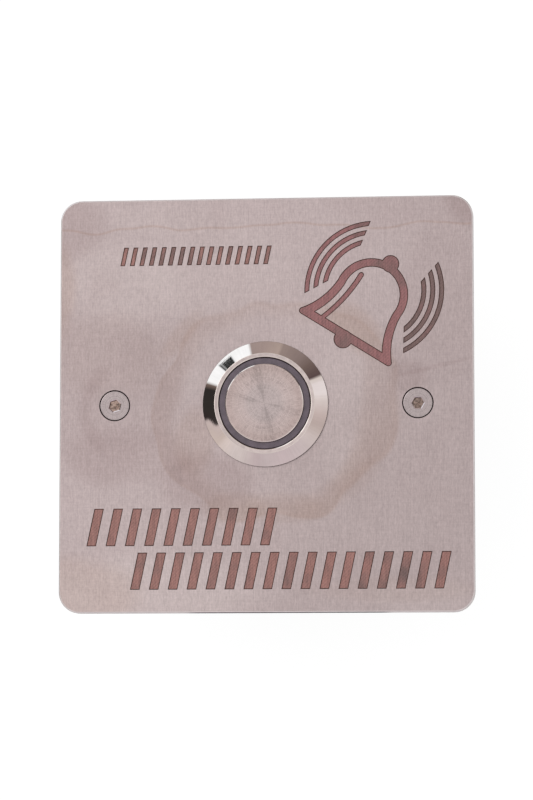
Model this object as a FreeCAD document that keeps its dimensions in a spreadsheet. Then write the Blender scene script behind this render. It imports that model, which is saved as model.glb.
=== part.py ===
import FreeCAD, Part
import math
import os
import re

import Sketcher

# Waiter call button for a counter: a square steel plate with a ring-lit metal push button, and behind
# it a round housing with the switch, a radio transmitter and its battery.
# The frame is in millimetres. The origin is on the button's axis, in the plane of the counter top.
# +Z leaves the plate towards the user, and +Y points to the top edge of the plate.

X = FreeCAD.Vector(1, 0, 0)
Z = FreeCAD.Vector(0, 0, 1)

doc = FreeCAD.newDocument("waiter_call_button")
sheet = doc.addObject("Spreadsheet::Sheet", "Dims")

DIMENSIONS = {
    # Clearances.
    "snug": (0.02, "clearance between parts that touch"),
    "gap": (0.05, "clearance between parts that drop in or slide"),
    # The face plate and its two countersunk screws.
    "plate_side": (82, "side of the square plate"),
    "plate_corner": (4.2, "radius of the plate's corners"),
    "plate_back": (1, "height of the plate's back face"),
    "plate_top": (3, "height of the plate's front face"),
    "plate_round": (0.3, "rounding along the front edge"),
    "plate_bore": (11.1, "radius of the hole for the switch"),
    "screw_reach": (30, "screw axis to button axis, half of the 60 mm pitch of a round wall box"),
    "screw_bore": (1.7, "radius of the clearance hole for M3"),
    "sink_radius": (3.1, "radius of the 90 degree countersink"),
    "screw_drop": (0.1, "screw head below the front face"),
    "screw_radius": (1.48, "radius of the M3 thread"),
    "screw_head": (2.85, "radius of the screw head"),
    "screw_low": (-9, "lower end of the plate screws"),
    "screw_point": (0.3, "chamfer at the lower end of the thread"),
    "screw_edge": (0.1, "chamfer round the screw head"),
    "screw_twist": (18, "turn of the left screw's socket, in degrees"),
    "screw_flats": (2, "across flats of the hexagon socket"),
    "screw_socket": (1.2, "depth of the hexagon socket"),
    # The etched marks, filled with enamel to just under the surface.
    "mark_depth": (0.2, "depth of the etching"),
    "mark_fill": (0.15, "thickness of the enamel"),
    "bell_x": (15.6, "middle of the bell's lip"),
    "bell_y": (12.9, "middle of the bell's lip"),
    "bell_tilt": (-32, "turn of the bell from upright, in degrees"),
    "bell_stroke": (1.7, "width of the bell's outline"),
    "dome_radius": (7.3, "outer radius of the bell's dome"),
    "dome_height": (10, "centre of the dome above the lip"),
    "waist_drop": (0.8, "dome centre to the start of the flare"),
    "lip_reach": (10.4, "half of the lip's length"),
    "lip_height": (0.9, "where the flare meets the rounded tip"),
    "lip_low": (-0.35, "lower edge of the lip"),
    "lip_stroke": (1.85, "thickness of the lip"),
    "lip_flat": (0.5, "end of the lip to the start of its rounded tip"),
    "tip_radius": (0.7, "rounding of the lip's tips"),
    "flare_radius": (14.5, "radius of the flare's outer edge"),
    "flare_inset": (2.7, "end of the lip to the inner foot of the flare"),
    "knob_radius": (1.75, "radius of the bell's crown"),
    "knob_sink": (0.1, "centre of the crown below the top of the dome"),
    "clapper_radius": (1.87, "radius of the bell's clapper"),
    "clapper_x": (-0.15, "centre of the clapper"),
    "clapper_y": (-0.3, "centre of the clapper"),
    "gleam_stroke": (1.1, "width of the line inside the bell"),
    "gleam_radius": (30, "radius of that line's bow"),
    "gleam_foot": (-5.8, "foot of that line"),
    "gleam_head": (-3.8, "upper end of that line"),
    "gleam_low": (0.5, "height of its foot"),
    "gleam_top": (12.4, "height of its upper end"),
    "arc_centre": (11.1, "centre of the sound arcs above the lip"),
    "arc_first": (9.8, "radius of the inner sound arc"),
    "arc_step": (1.75, "pitch of the sound arcs"),
    "arc_stroke": (1, "width of a sound arc"),
    "arc_middle": (11, "middle of the sound arcs, in degrees"),
    "trim_low": (30.5, "direction across the line that trims their lower ends, in degrees"),
    "trim_low_reach": (5.98, "that line to the arcs' centre"),
    "trim_high": (-9.5, "direction across the line that trims their upper ends, in degrees"),
    "trim_high_reach": (5.84, "that line to the arcs' centre"),
    # Three rows of plain slanted bars.
    "bar_slant": (0.21, "sideways lean of a bar for each unit of height"),
    "small_left": (-29, "left end of the small row"),
    "small_foot": (27.8, "foot of the small row"),
    "small_height": (3.7, "height of the small row"),
    "small_width": (0.95, "width of a bar in the small row"),
    "small_pitch": (1.9, "pitch of the small row"),
    "small_bars": (16, "bars in the small row"),
    "upper_left": (-35.5, "left end of the upper large row"),
    "upper_foot": (-27.8, "foot of the upper large row"),
    "upper_height": (7.4, "height of the upper large row"),
    "upper_width": (1.9, "width of a bar in the upper large row"),
    "upper_pitch": (3.82, "pitch of the upper large row"),
    "upper_bars": (10, "bars in the upper large row"),
    "lower_left": (-26.8, "left end of the lower large row"),
    "lower_foot": (-36.4, "foot of the lower large row"),
    "lower_height": (7.3, "height of the lower large row"),
    "lower_width": (1.9, "width of a bar in the lower large row"),
    "lower_pitch": (3.74, "pitch of the lower large row"),
    "lower_bars": (17, "bars in the lower large row"),
    # The gasket between the plate and the counter.
    "gasket_side": (80, "side of the gasket"),
    "gasket_corner": (3.2, "radius of the gasket's corners"),
    "gasket_bore": (35.2, "radius of the gasket's opening"),
    # The switch's bushing, the M22 body that the plate is clamped on.
    "bush_head": (12.4, "radius of the bushing's head"),
    "bush_rim": (3.5, "height where the head's bevel starts"),
    "bush_land": (9.9, "radius where the bevel ends"),
    "bush_top": (5.2, "height of the head's flat land"),
    "bush_bore": (9.1, "radius of the bore that guides the button"),
    "bush_edge": (0.15, "chamfer at the mouth of the bore"),
    "bush_thread": (10.98, "radius of the M22 thread"),
    "thread_edge": (0.4, "chamfer at the lower end of the thread"),
    "bush_shoulder": (-1.5, "height of the shoulder that stops the button"),
    "bush_lower_bore": (9.9, "radius of the bore below the shoulder"),
    "bush_low": (-15, "lower end of the bushing"),
    "seal_wall": (0.5, "thickness of the head outside its seal groove"),
    "seal_groove": (0.8, "width of the seal groove"),
    "washer_radius": (14, "outer radius of the lock washer"),
    "washer_bore": (12, "inner radius of its ring"),
    "tooth_tip": (11.15, "radius of the tips of its teeth"),
    "nut_flats": (27, "across flats of the lock nut"),
    "nut_low": (-3.3, "lower face of the lock nut"),
    "nut_top": (0.2, "upper face of the lock nut"),
    # The button: a steel cap on a clear light guide.
    "cap_radius": (7.72, "radius of the steel cap"),
    "cap_top": (5.5, "height of the cap's face"),
    "cap_low": (3.8, "underside of the cap"),
    "cap_chamfer": (0.28, "chamfer round the cap's face"),
    "stud_radius": (2, "radius of the cap's stud and of the guide's stem"),
    "stud_low": (0.8, "lower end of the cap's stud"),
    "guide_top": (4.9, "height of the lit ring"),
    "guide_radius": (8.97, "radius of the lit ring"),
    "guide_edge": (0.1, "chamfer round the lit ring"),
    "guide_collar": (9.7, "radius of the collar under the bushing's shoulder"),
    "groove_low": (0.2, "lower side of the O-ring's groove"),
    "groove_high": (1.4, "upper side of the O-ring's groove"),
    "skirt_radius": (7.55, "inner radius of the skirt over the lamps"),
    "guide_web": (-0.5, "seat of the spring under the light guide"),
    "guide_low": (-3.5, "lower edge of the light guide's skirt"),
    "stem_wall": (1, "thickness of the sleeve round the stem"),
    "stem_low": (-12, "lower end of the stem"),
    "neck_radius": (1.2, "radius of the neck that carries the bridge"),
    "neck_low": (-14.1, "lower end of the neck"),
    "ring_radius": (8.57, "mean radius of the button's O-ring"),
    "ring_wire": (0.5, "section radius of the button's O-ring"),
    "travel": (2.5, "travel of the button"),
    "bridge_half": (6.5, "half of the contact bridge's length"),
    "bridge_width": (4, "width of the contact bridge"),
    "clip_radius": (2.6, "radius of the clip under the bridge"),
    "clip_thick": (0.6, "thickness of that clip"),
    # The return spring, the lamp board and the contacts.
    "spring_radius": (4.4, "mean radius of the return spring"),
    "spring_wire": (0.3, "wire radius of the return spring"),
    "spring_turns": (5, "turns of the return spring"),
    "deck": (-9, "top of the contact housing, where the spring and the lamp board sit"),
    "lamp_board_bore": (5.2, "radius of the lamp board's opening"),
    "lamp_board_radius": (9.6, "radius of the lamp board"),
    "lamp_board_thick": (0.8, "thickness of the lamp board"),
    "lamp_circle": (7.4, "radius of the circle of lamps"),
    "lamp_length": (2, "length of a lamp's body"),
    "lamp_width": (1.6, "width of a lamp's body"),
    "lamp_height": (0.6, "height of a lamp's body"),
    "lens_radius": (0.65, "radius of a lamp's lens"),
    "lens_height": (0.3, "height of a lamp's lens"),
    "contact_radius": (9.8, "radius of the contact housing in the bushing"),
    "contact_roof": (2, "thickness of its roof"),
    "contact_bore": (8.5, "inner radius below the roof"),
    "stem_gap": (0.2, "clearance round the stem in the roof"),
    "flange_radius": (10.9, "radius of the flange under the bushing"),
    "base_top": (-17, "top of the terminal base"),
    "base_low": (-23, "underside of the terminal base"),
    "base_rib": (1, "height of the crossed ribs under the base"),
    "base_rib_width": (0.8, "width of such a rib"),
    "base_rib_reach": (5, "half of such a rib's length"),
    "blade_reach": (7, "blade to button axis"),
    "blade_width": (2, "width of a terminal blade"),
    "blade_thick": (0.5, "thickness of a terminal blade"),
    "blade_low": (-27, "lower end of the blades"),
    "blade_proud": (0.3, "lamp blades above their board"),
    "rivet_reach": (5.2, "fixed contact to button axis"),
    "rivet_radius": (0.9, "radius of a fixed contact"),
    "sleeve_bore": (1.15, "inner radius of a blade's sleeve"),
    "sleeve_radius": (1.6, "outer radius of a blade's sleeve"),
    "sleeve_below": (1.6, "sleeve below the end of its blade"),
    "sleeve_above": (2.6, "sleeve above the end of its blade"),
    # The leads to the transmitter.
    "lead_radius": (0.6, "radius of a lead"),
    "lead_level": (-32.6, "height of the leads over the board"),
    "lead_bend": (4, "radius of the bend below a blade"),
    "lead_turn": (9, "radius of the bend before the connector"),
    "lead_pitch": (2.5, "pitch of the connector's ways"),
    "socket_face": (15.5, "front face of the connector, where the leads go in"),
    "socket_length": (12, "length of the connector"),
    "socket_depth": (6, "depth of the connector"),
    "socket_height": (5, "height of the connector over the board"),
    "window": (1.4, "width of a window over a contact"),
    "window_start": (1.5, "window behind the front face"),
    "window_length": (3, "length of a window"),
    "window_depth": (1, "depth of a window"),
    # The housing and its moulded bosses.
    "house_radius": (34, "radius of the housing's barrel in the counter"),
    "house_step": (-22, "lower end of the barrel"),
    "house_lower": (33, "radius below the barrel"),
    "house_bore": (31.3, "inner radius of the housing"),
    "house_floor": (-40, "inner face of the floor"),
    "house_low": (-42, "underside of the housing"),
    "house_edge": (1, "chamfer round the underside"),
    "foot_radius": (24, "radius of the recess in the underside"),
    "foot_depth": (0.6, "depth of that recess"),
    "rib_rise": (0.6, "ribs outside the wall below the barrel"),
    "rib_root": (0.5, "ribs let into that wall"),
    "rib_foot": (4, "lower end of the ribs above the underside"),
    "boss_radius": (3.8, "radius of a screw boss"),
    "boss_low": (-12, "lower end of a screw boss"),
    "insert_radius": (2.1, "radius of a brass insert"),
    "insert_low": (-6, "lower end of a brass insert"),
    "post_radius": (3, "radius of a post under the board"),
    "post_reach": (24, "side posts to button axis"),
    "post_back": (25, "rear post to button axis"),
    "pilot_radius": (1.12, "radius of a post's hole"),
    "pan_radius": (2.3, "radius of a board screw's head"),
    "pan_height": (1.6, "height of that head"),
    "pan_edge": (0.6, "chamfer round that head"),
    "cross_length": (2.4, "length of the head's cross recess"),
    "cross_width": (0.5, "width of the head's cross recess"),
    "cross_depth": (0.7, "depth of the head's cross recess"),
    # The transmitter.
    "board_radius": (28, "radius of the transmitter board"),
    "board_low": (-36, "underside of the transmitter board"),
    "board_top": (-34.4, "top of the transmitter board"),
    "chip_x": (16, "centre of the radio chip"),
    "chip_y": (8, "centre of the radio chip"),
    "chip_length": (8.8, "length of the radio chip"),
    "chip_width": (4, "width of the radio chip"),
    "chip_low": (0.2, "chip over the board"),
    "chip_thick": (1.5, "thickness of the chip"),
    "leg_pitch": (1.27, "pitch of the chip's legs"),
    "leg_width": (0.4, "width of a leg"),
    "leg_length": (1.1, "length of a leg"),
    "leg_reach": (3, "outer end of a leg to the chip's axis"),
    "leg_height": (0.5, "height of a leg"),
    "can_x": (16, "axis of the resonator"),
    "can_y": (-3, "axis of the resonator"),
    "can_flange": (4.9, "radius of the resonator's flange"),
    "can_radius": (4.2, "radius of the resonator's can"),
    "can_height": (3.4, "height of the resonator"),
    "can_edge": (0.4, "chamfer round the can"),
    "aerial_x": (-16, "axis of the antenna coil"),
    "aerial_y": (12, "axis of the antenna coil"),
    "drum_x": (-14, "axis of the capacitor"),
    "drum_y": (-2, "axis of the capacitor"),
    "drum_radius": (2.5, "radius of the capacitor"),
    "drum_height": (7, "height of the capacitor"),
    "drum_edge": (0.2, "chamfer at the capacitor's ends"),
    "drum_bead": (1.3, "height of the bead pressed into its side"),
    "cell_radius": (5.15, "radius of the 12 V cell"),
    "cell_length": (27.5, "length of the cell without its cap"),
    "cell_y": (-15.5, "cell axis behind the button axis"),
    "cell_level": (-28.6, "height of the cell's axis"),
    "holder_half": (16.75, "half of the battery holder's length"),
    "holder_bay": (15.9, "half of the holder's bay"),
    "holder_width": (12.5, "width of the battery holder"),
    "holder_inner": (10.8, "width of the holder's bay"),
    "holder_top": (-27.4, "top of the battery holder"),
    "holder_dip": (3, "depth of the finger gaps in the holder's sides"),
    "holder_dip_half": (7, "half of their length"),
    "cell_edge": (0.3, "rounding of the cell's negative end"),
    "cell_shoulder": (0.4, "shoulder at the cell's positive end"),
    "cell_cap": (2.6, "radius of the cell's cap"),
    "cell_cap_rise": (1, "height of the cell's cap"),
    "clip_sheet": (0.4, "thickness of a battery contact"),
    "clip_half": (4, "half of a battery contact's width"),
    "coil_push": (3, "mean radius of the battery spring"),
    "push_wire": (0.25, "wire radius of the battery spring"),
    "coil_radius": (2.1, "mean radius of the antenna coil"),
    "coil_wire": (0.4, "wire radius of the antenna coil"),
    "coil_top": (-20, "top of the antenna coil"),
    "coil_turns": (9, "turns of the antenna coil"),
}

for row, (alias, (size, meaning)) in enumerate(DIMENSIONS.items(), start=1):
    sheet.set(f"A{row}", str(size))
    sheet.setAlias(f"A{row}", alias)
    sheet.set(f"B{row}", meaning)
doc.recompute()


# ---------------------------------------------------------------- expressions

def bound(text):
    """The document's expression for one written with the sheet's plain names."""
    return re.sub(r"[a-z_]+", lambda word: f"Dims.{word[0]}" if word[0] in DIMENSIONS else word[0], str(text))


def value(text):
    return float(sheet.evalExpression(bound(text)))


def drive(thing, name, text):
    thing.setExpression(name, bound(text))


# ---------------------------------------------------------------- sketches

def sketch_on(body, height=0, plane="XY_Plane"):
    """An empty sketch on one of the body's own planes, raised to a height."""
    support = next(face for face in body.Origin.OriginFeatures if face.Role == plane)
    sketch = body.newObject("Sketcher::SketchObject", f"{body.Name}_sketch")
    sketch.AttachmentSupport = [(support, "")]
    sketch.MapMode = "FlatFace"
    drive(sketch, "AttachmentOffset.Base.z", height)
    return sketch


def dimension(sketch, kind, *where, size):
    """A dimensional constraint that follows the sheet."""
    index = sketch.addConstraint(Sketcher.Constraint(kind, *where, value(size)))
    drive(sketch, f"Constraints[{index}]", size)


def arc_between(start, end, radius):
    """The short arc from start to end, counter-clockwise where the radius is positive."""
    chord = end - start
    rise = math.sqrt(radius ** 2 - (chord.Length / 2) ** 2)
    left = FreeCAD.Vector(-chord.y, chord.x, 0).normalize()
    centre = (start + end) / 2 + left * math.copysign(rise, radius)
    first, last = (start, end) if radius > 0 else (end, start)
    angles = [math.atan2(point.y - centre.y, point.x - centre.x) for point in (first, last)]
    return Part.ArcOfCircle(Part.Circle(centre, Z, abs(radius)), *angles)


def loop(*corners):
    """A closed outline: each corner is (x, y), or (x, y, radius) where an arc leads to the next one."""
    def draw(sketch):
        points = [FreeCAD.Vector(value(corner[0]), value(corner[1]), 0) for corner in corners]
        first = sketch.GeometryCount
        ends = []
        for index, corner in enumerate(corners):
            start, end = points[index], points[(index + 1) % len(points)]
            radius = value(corner[2]) if len(corner) > 2 else 0
            sketch.addGeometry(arc_between(start, end, radius) if radius else Part.LineSegment(start, end), False)
            ends.append((2, 1) if radius < 0 else (1, 2))
        for index, corner in enumerate(corners):
            edge, following = first + index, first + (index + 1) % len(corners)
            next_start = ends[(index + 1) % len(corners)][0]
            sketch.addConstraint(Sketcher.Constraint("Coincident", edge, ends[index][1], following, next_start))
            dimension(sketch, "DistanceX", -1, 1, edge, ends[index][0], size=corner[0])
            dimension(sketch, "DistanceY", -1, 1, edge, ends[index][0], size=corner[1])
            if len(corner) > 2:
                dimension(sketch, "Radius", edge, size=f"abs({corner[2]})")
    return draw


def circle(x, y, radius):
    def draw(sketch):
        centre = FreeCAD.Vector(value(x), value(y), 0)
        index = sketch.addGeometry(Part.Circle(centre, Z, value(radius)), False)
        dimension(sketch, "DistanceX", -1, 1, index, 3, size=x)
        dimension(sketch, "DistanceY", -1, 1, index, 3, size=y)
        dimension(sketch, "Radius", index, size=radius)
    return draw


def rectangle(left, right, front, back):
    return loop((left, front), (right, front), (right, back), (left, back))


def rounded_square(side, corner):
    """A square about the axis with round corners."""
    flat, edge = f"({side} / 2 - {corner})", f"{side} / 2"
    return loop(
        (f"-{flat}", f"-{edge}"), (flat, f"-{edge}", corner), (edge, f"-{flat}"), (edge, flat, corner),
        (flat, edge), (f"-{flat}", edge, corner), (f"-{edge}", flat), (f"-{edge}", f"-{flat}", corner))


def hexagon(flats, x=0, y=0):
    spoke = f"{flats} / 2 / cos(30)"
    return loop(*[(f"{x} + {spoke} * cos({60 * turn})", f"{y} + {spoke} * sin({60 * turn})") for turn in range(6)])


# ---------------------------------------------------------------- features

def new_body(label):
    body = doc.addObject("PartDesign::Body", label)
    body.Label = label
    body.AllowCompound = True
    return body


def pad(body, low, high, *drawings):
    """Material between two heights."""
    sketch = sketch_on(body, low)
    for draw in drawings:
        draw(sketch)
    feature = body.newObject("PartDesign::Pad", f"{body.Name}_pad")
    feature.Profile = sketch
    drive(feature, "Length", f"({high}) - ({low})")
    return feature


def cut(body, low, high, *drawings):
    """A pocket between two heights, which has to take material away."""
    doc.recompute()
    before = body.Shape.Volume
    sketch = sketch_on(body, high)
    for draw in drawings:
        draw(sketch)
    feature = body.newObject("PartDesign::Pocket", f"{body.Name}_pocket")
    feature.Profile = sketch
    drive(feature, "Length", f"({high}) - ({low})")
    doc.recompute()
    if body.Shape.Volume >= before:
        raise RuntimeError(f"{body.Label}: the pocket cuts nothing")
    return feature


def turn(body, *profiles):
    """A body of revolution: each profile's corners are (radius, height)."""
    sketch = sketch_on(body, plane="XZ_Plane")
    for profile in profiles:
        loop(*profile)(sketch)
    feature = body.newObject("PartDesign::Revolution", f"{body.Name}_turned")
    feature.Profile = sketch
    feature.ReferenceAxis = (sketch, ["V_Axis"])
    feature.Angle = 360
    return feature


def tube_profile(inner, outer, low, high):
    return (inner, low), (outer, low), (outer, high), (inner, high)


def place(thing, x=0, y=0, z=0):
    for axis, size in zip("xyz", (x, y, z)):
        drive(thing, f"Placement.Base.{axis}", size)
    return thing


def group(label, pieces):
    """Like pieces that share one name."""
    made = doc.addObject("Part::Compound", label)
    made.Label = label
    made.Links = pieces
    return made


def coil(label, radius, wire, height, turns):
    """A round wire wound about Z, from the origin up: half turns that each lean a little, between two flat ones."""
    steps = int(2 * turns - 2)
    rise = f"(({height}) / {steps})"
    halves = []
    for step in range(-1, steps + 1):
        lean = "0" if step in (-1, steps) else f"({rise} / 2)"
        half = doc.addObject("Part::Torus", f"{label}_half")
        half.Angle3 = 180
        half.Placement.Rotation = FreeCAD.Rotation(180 * (step % 2), 1, 0)
        drive(half, "Radius1", f"sqrt(({radius}) ^ 2 + {lean} ^ 2)")
        drive(half, "Radius2", wire)
        drive(half, "Placement.Rotation.Pitch", f"atan({lean} / ({radius}))")
        halves.append(place(half, z=f"{rise} * {min(max(step + 0.5, 0), steps)}"))
    made = doc.addObject("Part::MultiFuse", label)
    made.Label = label
    made.Shapes = halves
    return made


# ---------------------------------------------------------------- the marks on the plate

def bell(label, low, high):
    """A hand bell in outline, upright at the origin and then turned and placed on the plate."""
    body = new_body(label)
    inner, inner_flare = "(dome_radius - bell_stroke)", "(flare_radius + bell_stroke)"
    waist = "(dome_height - waist_drop)"
    neck = "sqrt(dome_radius ^ 2 - waist_drop ^ 2)"
    inner_neck = f"sqrt({inner} ^ 2 - waist_drop ^ 2)"
    lip_top = "(lip_low + lip_stroke)"
    inner_lip = "(lip_reach - flare_inset)"
    pad(
        body, low, high,
        loop(
            ("lip_reach - lip_flat", "lip_low", "tip_radius"), ("lip_reach", "lip_height", "-flare_radius"),
            (neck, waist, "dome_radius"), ("0", "dome_height + dome_radius", "dome_radius"),
            (f"-{neck}", waist, "-flare_radius"), ("-lip_reach", "lip_height", "tip_radius"),
            ("lip_flat - lip_reach", "lip_low")),
        loop(
            (inner_lip, lip_top, f"-{inner_flare}"), (inner_neck, waist, inner),
            ("0", f"dome_height + {inner}", inner), (f"-{inner_neck}", waist, f"-{inner_flare}"),
            (f"-{inner_lip}", lip_top)))
    pad(body, low, high, circle("0", "dome_height + dome_radius - knob_sink", "knob_radius"))
    pad(body, low, high, circle("clapper_x", "clapper_y", "clapper_radius"))
    half = "gleam_stroke / 2"
    pad(
        body, low, high,
        loop(
            (f"gleam_foot - {half}", lip_top, "gleam_radius"),
            (f"gleam_head - {half}", "gleam_top", f"-{half} * 1.001"),
            (f"gleam_head + {half}", "gleam_top", "-gleam_radius"), (f"gleam_foot + {half}", lip_top),
            (f"gleam_foot + {half}", "gleam_low"), (f"gleam_foot - {half}", "gleam_low")))
    return on_bell_axes(body)


def on_bell_axes(body):
    body.Placement.Rotation = FreeCAD.Rotation(Z, 1)
    drive(body, "Placement.Rotation.Angle", "bell_tilt")
    return place(body, "bell_x", "bell_y")


def sound_arcs(label, low, high):
    """Three arcs on each side of the bell, about one centre on its axis."""
    body = new_body(label)
    for step in range(3):
        outer = f"(arc_first + {step} * arc_step + arc_stroke / 2)"
        inner = f"(arc_first + {step} * arc_step - arc_stroke / 2)"
        for side in (1, -1):
            def spoke(radius, angle):
                return f"{side} * {radius} * cos({angle})", f"arc_centre + {radius} * sin({angle})"

            def start(radius):
                return spoke(radius, f"trim_low * 1 deg - acos(trim_low_reach / {radius})")

            def end(radius):
                return spoke(radius, f"trim_high * 1 deg + acos(trim_high_reach / {radius})")

            outward, inward = (outer, f"-{inner}") if side > 0 else (f"-{outer}", inner)
            pad(
                body, low, high,
                loop(
                    (*start(outer), outward), (*spoke(outer, "arc_middle"), outward), end(outer),
                    (*end(inner), inward), (*spoke(inner, "arc_middle"), inward), start(inner)))
    return on_bell_axes(body)


def slanted_bars(label, low, high):
    """A small row above the button and two large ones below it."""
    body = new_body(label)
    for row in ("small", "upper", "lower"):
        left, foot, right, lean = f"{row}_left", f"{row}_foot", f"{row}_left + {row}_width", f"{row}_height * bar_slant"
        top = f"{foot} + {row}_height"
        first = pad(
            body, low, high, loop((left, foot), (right, foot), (f"{right} + {lean}", top), (f"{left} + {lean}", top)))
        doc.recompute()
        pattern = body.newObject("PartDesign::LinearPattern", f"{label}_row")
        pattern.Originals = [first]
        pattern.Direction = (first.Profile[0], ["H_Axis"])
        drive(pattern, "Length", f"{row}_pitch * ({row}_bars - 1)")
        drive(pattern, "Occurrences", f"{row}_bars")
        body.Tip = pattern
    return body


def marks(suffix, low, high):
    """The bell, its sound arcs and the rows of bars, between two heights."""
    return [make(f"{name}_{suffix}", low, high)
            for name, make in (("bell", bell), ("sound_arcs", sound_arcs), ("bar_rows", slanted_bars))]


# ---------------------------------------------------------------- the plate, its gasket and screws

def face_plate():
    """A square plate with rounded corners and front edge, drilled and etched."""
    blank = new_body("plate_blank")
    pad(blank, "plate_back", "plate_top", rounded_square("plate_side", "plate_corner"))
    cut(blank, "plate_back", "plate_top", circle("0", "0", "plate_bore"))
    for side in (1, -1):
        cut(blank, "plate_back", "plate_top", circle(f"{side} * screw_reach", "0", "screw_bore"))
        sink = sketch_on(blank, plane="XZ_Plane")
        axis = f"{side} * screw_reach"
        loop(
            (axis, "plate_top - sink_radius"), (f"{axis} + {side} * sink_radius", "plate_top"),
            (axis, "plate_top"))(sink)
        doc.recompute()
        before = blank.Shape.Volume
        line = sink.addGeometry(Part.LineSegment(FreeCAD.Vector(side, 0, 0), FreeCAD.Vector(side, 1, 0)), True)
        dimension(sink, "DistanceX", -1, 1, line, 1, size=axis)
        dimension(sink, "DistanceX", -1, 1, line, 2, size=axis)
        groove = blank.newObject("PartDesign::Groove", "plate_sink")
        groove.Profile = sink
        groove.ReferenceAxis = (sink, ["Axis0"])
        groove.Angle = 360
        doc.recompute()
        if blank.Shape.Volume >= before:
            raise RuntimeError("face_plate: the countersink cuts nothing")
    drilled = blank.Tip
    rim = blank.newObject("PartDesign::Fillet", "plate_round")
    rim.Base = (drilled, front_rim(drilled.Shape))
    drive(rim, "Radius", "plate_round")
    doc.recompute()
    etching = doc.addObject("Part::MultiFuse", "etching")
    etching.Shapes = marks("recess", "plate_top - mark_depth", "plate_top + 1")
    plate = doc.addObject("Part::Cut", "face_plate")
    plate.Label = "face_plate"
    plate.Base = blank
    plate.Tool = etching
    return plate


def front_rim(shape):
    """The names of the edges round the outside of the plate's front face."""
    top, half = value("plate_top"), value("plate_side / 2 - plate_corner")
    return [
        f"Edge{number}" for number, edge in enumerate(shape.Edges, start=1)
        if abs(edge.BoundBox.ZMin - top) < 1e-6 and abs(edge.BoundBox.ZMax - top) < 1e-6
        and max(abs(edge.CenterOfMass.x), abs(edge.CenterOfMass.y)) > half]


def plate_gasket():
    body = new_body("plate_gasket")
    pad(body, "0", "plate_back", rounded_square("gasket_side", "gasket_corner"), circle("0", "0", "gasket_bore"))
    return body


def plate_screws():
    """Two countersunk M3 screws with a hexagon socket."""
    pieces = []
    for side, twist in ((1, 0), (-1, value("screw_twist"))):
        body = new_body(f"plate_screw_{len(pieces)}")
        top, edge = "plate_top - screw_drop", "(plate_top - screw_drop - screw_edge)"
        cone_low = f"{edge} - screw_head + screw_radius"
        turn(body, (
            ("0", "screw_low"), ("screw_radius - screw_point", "screw_low"),
            ("screw_radius", "screw_low + screw_point"), ("screw_radius", cone_low), ("screw_head", edge),
            ("screw_head - screw_edge", top), ("0", top)))
        cut(body, f"{top} - screw_socket", top, hexagon("screw_flats"))
        body.Placement.Rotation = FreeCAD.Rotation(Z, twist)
        pieces.append(place(body, f"{side} * screw_reach"))
    return group("plate_screws", pieces)


# ---------------------------------------------------------------- the switch's bushing and its nut

def switch_bushing():
    """A polished M22 body: bevelled head, guide bore, shoulder, and a groove for its seal."""
    body = new_body("switch_bushing")
    groove, wall = "bush_head - seal_wall - seal_groove", "bush_head - seal_wall"
    turn(body, (
        ("bush_bore", "bush_shoulder"), ("bush_lower_bore", "bush_shoulder"), ("bush_lower_bore", "bush_low"),
        ("bush_thread - thread_edge", "bush_low"), ("bush_thread", "bush_low + thread_edge"),
        ("bush_thread", "plate_top"), (groove, "plate_top"), (groove, "bush_rim"), (wall, "bush_rim"),
        (wall, "plate_top"), ("bush_head", "plate_top"), ("bush_head", "bush_rim"), ("bush_land", "bush_top"),
        ("bush_bore + bush_edge", "bush_top"), ("bush_bore", "bush_top - bush_edge")))
    return body


def bushing_seal():
    body = new_body("bushing_seal")
    turn(body, tube_profile(
        "bush_head - seal_wall - seal_groove + gap", "bush_head - seal_wall - gap", "plate_top", "bush_rim - snug"))
    return body


def wedge(inner, outer, angle, inner_half, outer_half):
    """A stub that points outwards at an angle, its two ends given as half widths in degrees."""
    return loop(*[
        (f"{radius} * cos({angle + edge})", f"{radius} * sin({angle + edge})")
        for radius, edge in ((inner, -inner_half), (outer, -outer_half), (outer, outer_half), (inner, inner_half))])


def lock_washer():
    """A ring with a short tooth every 30 degrees that bites on the thread."""
    body = new_body("lock_washer")
    low, high = "nut_top", "plate_back"
    pad(body, low, high, circle("0", "0", "washer_radius"), circle("0", "0", "washer_bore"))
    for angle in range(0, 360, 30):
        pad(body, low, high, wedge("tooth_tip", "(washer_bore + 0.1)", angle, 6, 9))
    return body


def lock_nut():
    body = new_body("lock_nut")
    pad(body, "nut_low", "nut_top", hexagon("nut_flats"), circle("0", "0", "bush_thread + snug"))
    return body


# ---------------------------------------------------------------- the button and what moves with it

def button_cap():
    body = new_body("button_cap")
    turn(body, (
        ("0", "stud_low"), ("stud_radius", "stud_low"), ("stud_radius", "cap_low"), ("cap_radius", "cap_low"),
        ("cap_radius", "cap_top - cap_chamfer"), ("cap_radius - cap_chamfer", "cap_top"), ("0", "cap_top")))
    return body


def light_guide():
    """A clear plunger: the lit ring on top, a groove, a collar, a skirt over the lamps and a stem."""
    body = new_body("light_guide")
    sleeve, groove = "stud_radius + stem_wall", "ring_radius - ring_wire - snug"
    stop, seat, socket = "bush_shoulder - gap", "cap_radius + gap", "stud_radius + snug"
    turn(body, (
        ("0", "neck_low"), ("neck_radius", "neck_low"), ("neck_radius", "stem_low"), ("stud_radius", "stem_low"),
        ("stud_radius", "guide_low"), (sleeve, "guide_low"), (sleeve, "guide_web"), ("skirt_radius", "guide_web"),
        ("skirt_radius", "guide_low"), ("guide_collar", "guide_low"), ("guide_collar", stop), ("guide_radius", stop),
        ("guide_radius", "groove_low"), (groove, "groove_low"), (groove, "groove_high"),
        ("guide_radius", "groove_high"), ("guide_radius", "guide_top - guide_edge"),
        ("guide_radius - guide_edge", "guide_top"), (seat, "guide_top"), (seat, "cap_low"), (socket, "cap_low"),
        (socket, "stud_low - 4 * gap"), ("0", "stud_low - 4 * gap")))
    return body


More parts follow.
